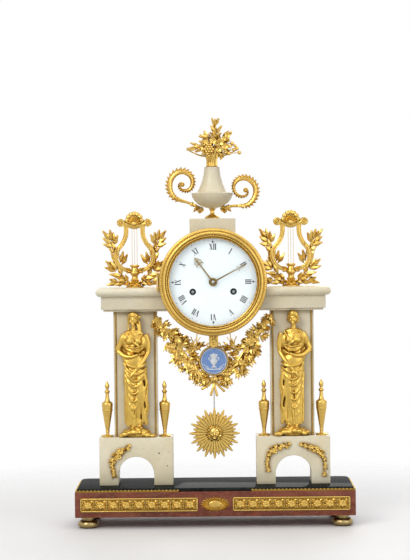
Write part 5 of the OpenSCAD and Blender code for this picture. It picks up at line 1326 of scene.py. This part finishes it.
folds = [
    ([(-16, -1, 113), (-9, -8, 105), (1, -9.4, 101), (10, -7.4, 103), (16, -1, 108)], 1.9),
    ([(-16.5, -1, 107), (-10, -8.2, 97), (0, -9.8, 91.5), (9, -8.2, 95), (16.5, -1, 102)], 1.8),
    ([(-16, -1, 100), (-10, -8, 88.5), (-1, -9.6, 82), (8, -8.2, 86), (15.5, -1.5, 95)], 1.7),
    ([(-15, -1, 92), (-9, -7.8, 79.5), (-2, -9.2, 73), (6, -8.6, 77), (13, -3, 88)], 1.6),
    ([(-14.5, -1.5, 84), (-9, -7.4, 70), (-3, -8.6, 63), (4, -8.6, 66), (11, -4, 80)], 1.5),
    ([(-14, -1.5, 75), (-9, -7.2, 60), (-3, -8.2, 52), (2, -8, 54)], 1.4),
    ([(-13, -2, 64), (-8.5, -7, 48), (-3.5, -7.8, 40), (0.5, -7.4, 43)], 1.3),
    ([(-12, -2, 52), (-8, -6.8, 36), (-3.5, -7.2, 29)], 1.2),
    ([(-13, -3, 68), (-12.4, -4.4, 44), (-12.6, -3.8, 17)], 1.5),
    ([(-10, -5.8, 62), (-9.6, -6.2, 40), (-10, -5.4, 16)], 1.4),
    ([(-6.5, -7.4, 54), (-6.8, -7.2, 36), (-7, -6.4, 17)], 1.3),
    ([(-3, -8, 44), (-3.4, -7.2, 30), (-3.8, -6.4, 16)], 1.2),
    ([(0.4, -7, 60), (0.2, -6.6, 38), (-0.6, -6.2, 16)], 1.2),
    ([(9, -5.8, 60), (9.4, -5.6, 38), (9.8, -5, 18)], 1.3),
    ([(12, -4, 94), (15.4, -5, 78), (13.2, -5.4, 62), (15.6, -4.8, 46), (13.4, -4.6, 32), (14.6, -3.6, 18)], 1.9),
    ([(15, -3, 92), (18, -3.2, 74), (16.2, -3.4, 58), (18, -3, 42), (15.8, -3, 30), (17, -2.4, 19)], 1.6),
    ([(10.4, -5, 84), (11.6, -6.4, 70), (10.2, -6.6, 54), (11.4, -6, 40), (10.6, -5.6, 22)], 1.3),
    ([(-16, -0.5, 92), (-14.8, -2, 70), (-15.4, -1.6, 46), (-14.4, -1.6, 20)], 1.7),
    ([(14.5, -1, 100), (15.6, 0, 60), (14, 0, 20)], 2.4),
    ([(-15, -3, 151), (-8, -7.8, 144), (0, -8.8, 136), (8, -6.4, 130.5)], 1.4),
    ([(-11, -4, 154), (-4, -7.4, 148), (3, -8.4, 140), (10, -5.6, 134)], 1.2),
    ([(12, -3.6, 152), (7.4, -7.6, 145), (1, -8.4, 138)], 1.3),
    ([(-13, -3, 132), (-6, -7.2, 130), (2, -7.6, 130), (11, -3.4, 132)], 1.3),
    ([(-12.6, -3, 128), (-5, -7, 124), (4, -7.2, 124), (11, -3, 128)], 1.0),
    ([(-12, -3, 122), (-4, -7, 118), (5, -7, 119), (12, -3, 123)], 1.0),
    ([(-16, -1, 150), (-19, -3, 143), (-22, -2.6, 137)], 1.4),
    ([(-13, -3, 149), (-15.5, -4.6, 142), (-16, -4, 135)], 1.2),
]
headBalls = [
    ((0, 0, 0), (6.4, 7.0, 9.0)), ((0, 1.6, 3.2), (7.6, 7.2, 7.6)), ((0, -5.6, -7), (2.4, 2.2, 2.0)), ((-3, -4.4, -2.4), 2.8),
    ((3, -4.4, -2.4), 2.8), ((-2.5, -6.0, 0.6), (1.4, 0.9, 0.8)), ((2.5, -6.0, 0.6), (1.4, 0.9, 0.8)),
    ((0, -6.5, -4.6), (1.9, 0.9, 0.55)), ((0, -6.4, -5.6), (1.5, 0.9, 0.5)),
]
headRods = [
    ([(0, -6.6, 1.6), (0, -8.2, -2.2)], [0.7, 1.1]),
    ([(-4.4, -5.4, 2.4), (-2, -6.6, 2.8), (0, -6.8, 2.2), (2, -6.6, 2.8), (4.4, -5.4, 2.4)], 0.6),
    ([(-7.2, -2, -2), (-6.2, -5.4, 3.2), (-2.4, -6.8, 6), (0, -7, 6.8)], 1.5),
    ([(7.2, -2, -2), (6.2, -5.4, 3.2), (2.4, -6.8, 6), (0, -7, 6.8)], 1.5),
    ([(-7.4, 0, 0), (-6.8, -3.6, 6), (-2, -5.2, 9), (2, -5.2, 9), (6.8, -3.6, 6), (7.4, 0, 0)], 1.3),
    ([(-5.5, -1, 8.6), (0, -2.4, 10.6), (5.5, -1, 8.6)], 1.2),
]
# Hair that falls or is tied up, one set for each figure
hair = {
    -1: [
        ([(7, 1, 0), (9, 0, -6), (9.6, -1, -14), (10.4, -1, -22)], 1.8), ([(5.5, 0, -6), (7.4, -2.4, -13), (7, -3, -20)], 1.4),
        ([(-7, 0, -2), (-7.8, -1, -9), (-7, -2, -15)], 1.5), ([(7, -1, 4), (10.4, 0, 3.4)], [2.8, 3.4]),
    ],
    1: [([(6, 1, 0), (8.6, 1.6, -4)], [3.0, 3.6]), ([(-6.8, 0, 0), (-6.6, 0.4, -7)], 1.5)],
}


def figure(side, s):
    draw = random.Random(41 + side)
    parts = [ball(at, size, 20, 14) for at, size in bodyBalls]
    parts += [rod(points, radii, 3, 6) for points, radii in limbs]
    for points, radius in folds:
        path = [(x + draw.uniform(-0.5, 0.5), y, z + draw.uniform(-0.8, 0.8)) for x, y, z in points]
        parts.append(rod(path, radius, 2, 6))
    head = [ball(at, size, 20, 14) for at, size in headBalls]
    head += [rod(points, radii, 2, 5) for points, radii in [*headRods, *hair[side]]]
    turn = Matrix.Rotation(math.radians(14 if side > 0 else -9), 4, "Z") @ Matrix.Rotation(math.radians(5), 4, "X")
    for piece in head:
        piece.data.transform(moved((-2, -0.6, 170)) @ turn)
    rock = []
    for i in range(26):
        size = draw.uniform(2.4, 4.2)
        x = -20 + 44 * (i % 13) / 12
        at = (x, draw.uniform(-6, 4) - 2 * (i // 13), draw.uniform(1.5, 4.5) + 4 * math.cos(x / 14))
        rock.append(ball(at, (size * 1.3, size, size), 10, 8))
    rock.append(ball((1, 0, 6), (21, 8, 8.5), 24, 12))
    piece = joined([*parts, *head, *rock], "figure")
    if side > 0:
        piece.data.transform(Matrix.Diagonal((-1, 1, 1, 1)))
        piece.data.flip_normals()
    piece.data.transform(moved((side * pierX, s["y"], s["z"])))
    modify(piece, "REMESH", mode="VOXEL", voxel_size=s["voxel"] * mm)
    modify(piece, "SMOOTH", factor=0.5, iterations=2)
    modify(piece, "DECIMATE", ratio=s["keep"])
    floor, back = s["z"] * mm, (s["y"] + s["depth"]) * mm
    for v in piece.data.vertices:
        v.co.z = max(v.co.z, floor + 0.00002)
        v.co.y = min(v.co.y, back)
    return piece


for side, word in ((-1, "left"), (1, "right")):
    gilded([figure(side, figureSet)], word + "Figure", ["caryatid_" + word], 60, giltFigure)
print("figures done")

# Sunburst of the pendulum, with a plain calm mask

sunSet = {"at": (0, 11.0, 128), "disc": 27.0, "long": 37.4, "short": 32.0, "slope": 0.66, "corners": 128}
maskBalls = [
    ((0, 0, 0), (8.0, 4.4, 9.6)), ((-3.2, -2.9, -1.8), 2.4), ((3.2, -2.9, -1.8), 2.4), ((0, -3.4, -6.6), (2.5, 1.8, 1.9)),
    ((-2.9, -4.0, 1.0), (1.6, 0.8, 0.8)), ((2.9, -4.0, 1.0), (1.6, 0.8, 0.8)), ((0, -4.4, -4.0), (2.0, 0.8, 0.55)),
    ((0, -4.3, -5.0), (1.6, 0.8, 0.5)),
]
maskRods = [
    ([(0, -4.4, 2.4), (0, -6.0, -1.8)], [0.8, 1.2]),
    ([(-5.2, -3.4, 2.8), (-2.6, -4.5, 3.5), (0, -4.6, 2.6), (2.6, -4.5, 3.5), (5.2, -3.4, 2.8)], 0.65),
]


def sunburst(s):
    x, y, z = s["at"]
    deselect()
    bpy.ops.mesh.primitive_cylinder_add(
        vertices=s["corners"], radius=s["disc"] * mm, depth=2.0 * mm, rotation=(math.radians(90), 0, 0)
    )
    disc = settle(bpy.context.object)
    turnOf = lambda p: (math.degrees(math.atan2(p.z, p.x)) - 90) % 22.5
    for middle, reach in ((0, s["long"]), (11.25, s["short"])):
        offset = lambda p: abs((turnOf(p) - middle + 11.25) % 22.5 - 11.25)
        size, slope = reach / s["disc"], 1 + s["slope"] * (reach / s["disc"] - 1)
        shape(disc, lambda p: offset(p) < 1.5, grow(size, 1, size))
        shape(disc, lambda p: 1.5 < offset(p) < 3.5, grow(slope, 1, slope))
    disc.data.transform(moved((x, y + 0.6, z)))
    parts = [disc]
    pleats = []
    between = (13, s["disc"] - 0.8, [0.5, 1.0, 1.4])
    besideLong, besideShort = [(20, s["disc"] + s["slope"] * (ray - s["disc"]) - 1, [0.3, 0.7, 0.7]) for ray in (s["long"], s["short"])]
    longRay, shortRay = (8, s["long"] - 0.6, [0.8, 2.8, 1.1]), (8, s["short"] - 0.6, [0.7, 2.4, 1.1])
    row = [longRay, besideLong, between, besideShort, shortRay, besideShort, between, besideLong]
    for i in range(s["corners"]):
        a = 90 + i * 360 / s["corners"]
        start, reach, radii = row[i % 8]
        pleats.append(rod([(*polar(r, a), 0) for r in (start, (start + reach) * 0.55, reach)], radii, 1))
    pleats = joined(pleats, "pleats")
    upright = Matrix.Rotation(math.radians(90), 4, "X")
    pleats.data.transform(moved((x, y - 0.4, z)) @ upright @ Matrix.Diagonal((1, 1, 0.9, 1)))
    parts.append(pleats)
    parts.append(turned([(0, -2.4), (8, -2.2), (10.5, -1.2), (10.5, 1.6), (0, 2.2)], (x, y, z), 40, "Y"))
    parts += [ball((x + a, y - 4.2 + b, z + c), size, 20, 14) for (a, b, c), size in maskBalls]
    parts += [rod([(x + a, y - 4.2 + b, z + c) for a, b, c in points], radii, 2, 5) for points, radii in maskRods]
    for i in range(22):
        a = 90 + (i - 10.5) * 14.6
        near, far = polar(8.2, a), polar(11.6 + (i % 2), a + (8 if i % 2 else -8))
        lock = [(near[0] * 0.9, -3.6, near[1]), (near[0] * 1.12, -4.6, near[1] * 1.12), (far[0], -2.2, far[1])]
        parts.append(rod([(x + a, y + b, z + c) for a, b, c in lock], [1.3, 1.5, 0.9], 1, 4))
    return parts


gilded(sunburst(sunSet), "sunburst", ["pendulum_sun"], 30, giltSun, "pendulum")
print("sun done")

# Floor, light and world

lightSet = [
    {"name": "keySoft", "at": (-1500, -2300, 1900), "size": 1500, "watts": 44, "tint": (1.0, 0.975, 0.94)},
    {"name": "fillSoft", "at": (1700, -1900, 900), "size": 1700, "watts": 15, "tint": (0.95, 0.97, 1.0)},
    {"name": "topSoft", "at": (100, -300, 2500), "size": 1600, "watts": 13, "tint": (1.0, 1.0, 1.0)},
    {"name": "rearSoft", "at": (600, 2300, 1500), "size": 1700, "watts": 18, "tint": (1.0, 0.99, 0.97)},
]
lampAim = (0, 0, 260)


def makeFloor():
    bpy.ops.mesh.primitive_plane_add(size=12, location=(0, 0, 0))
    floor = bpy.context.object
    floor.name = "floor"
    material, tree, shader, place = newFinish("floorPale", (0.86, 0.86, 0.87), 0.0, 0.62)
    far = tree.nodes.new("ShaderNodeVectorMath")
    far.operation = "LENGTH"
    tree.links.new(place, far.inputs[0])
    tree.links.new(ramp(tree, far.outputs["Value"], (0.34, 1.0), (0.78, 0.0)), shader.inputs["Alpha"])
    floor.data.materials.append(material)


def makeLights(rows):
    for s in rows:
        bpy.ops.object.light_add(type="AREA", location=Vector(s["at"]) * mm)
        lamp = bpy.context.object
        lamp.name = s["name"]
        lamp.data.energy = s["watts"]
        lamp.data.size = s["size"] * mm
        lamp.data.color = s["tint"]
        lamp.rotation_euler = (Vector(lampAim) * mm - lamp.location).to_track_quat("-Z", "Y").to_euler()


# Camera, mirror and glass rays see the pale backdrop, and the rest a softer room
def makeWorld():
    world = bpy.data.worlds.new("studio")
    bpy.context.scene.world = world
    world.use_nodes = True
    tree = world.node_tree
    tree.nodes.clear()
    link = tree.links.new
    out = tree.nodes.new("ShaderNodeOutputWorld")
    path = tree.nodes.new("ShaderNodeLightPath")
    white = tree.nodes.new("ShaderNodeBackground")
    room = tree.nodes.new("ShaderNodeBackground")
    mix = tree.nodes.new("ShaderNodeMixShader")
    glossy = tree.nodes.new("ShaderNodeMath")
    seen = tree.nodes.new("ShaderNodeMath")
    place = tree.nodes.new("ShaderNodeTexCoord")
    split = tree.nodes.new("ShaderNodeSeparateXYZ")
    white.inputs["Color"].default_value = (1, 1, 1, 1)
    room.inputs["Strength"].default_value = 0.5
    glossy.operation = seen.operation = "MAXIMUM"
    link(place.outputs["Generated"], split.inputs[0])
    link(ramp(tree, split.outputs["Z"], (0.32, (0.30, 0.29, 0.28)), (0.78, (1.0, 1.0, 1.0))), room.inputs["Color"])
    link(path.outputs["Is Glossy Ray"], glossy.inputs[0])
    link(path.outputs["Is Transmission Ray"], glossy.inputs[1])
    link(path.outputs["Is Camera Ray"], seen.inputs[0])
    link(glossy.outputs[0], seen.inputs[1])
    link(seen.outputs[0], mix.inputs[0])
    link(room.outputs[0], mix.inputs[1])
    link(white.outputs[0], mix.inputs[2])
    link(mix.outputs[0], out.inputs["Surface"])


makeFloor()
makeLights(lightSet)
makeWorld()
discard(*patterns)
scene = bpy.context.scene
scene.view_settings.view_transform = "Standard"
scene.render.resolution_x = 410
scene.render.resolution_y = 560
print("scene done")
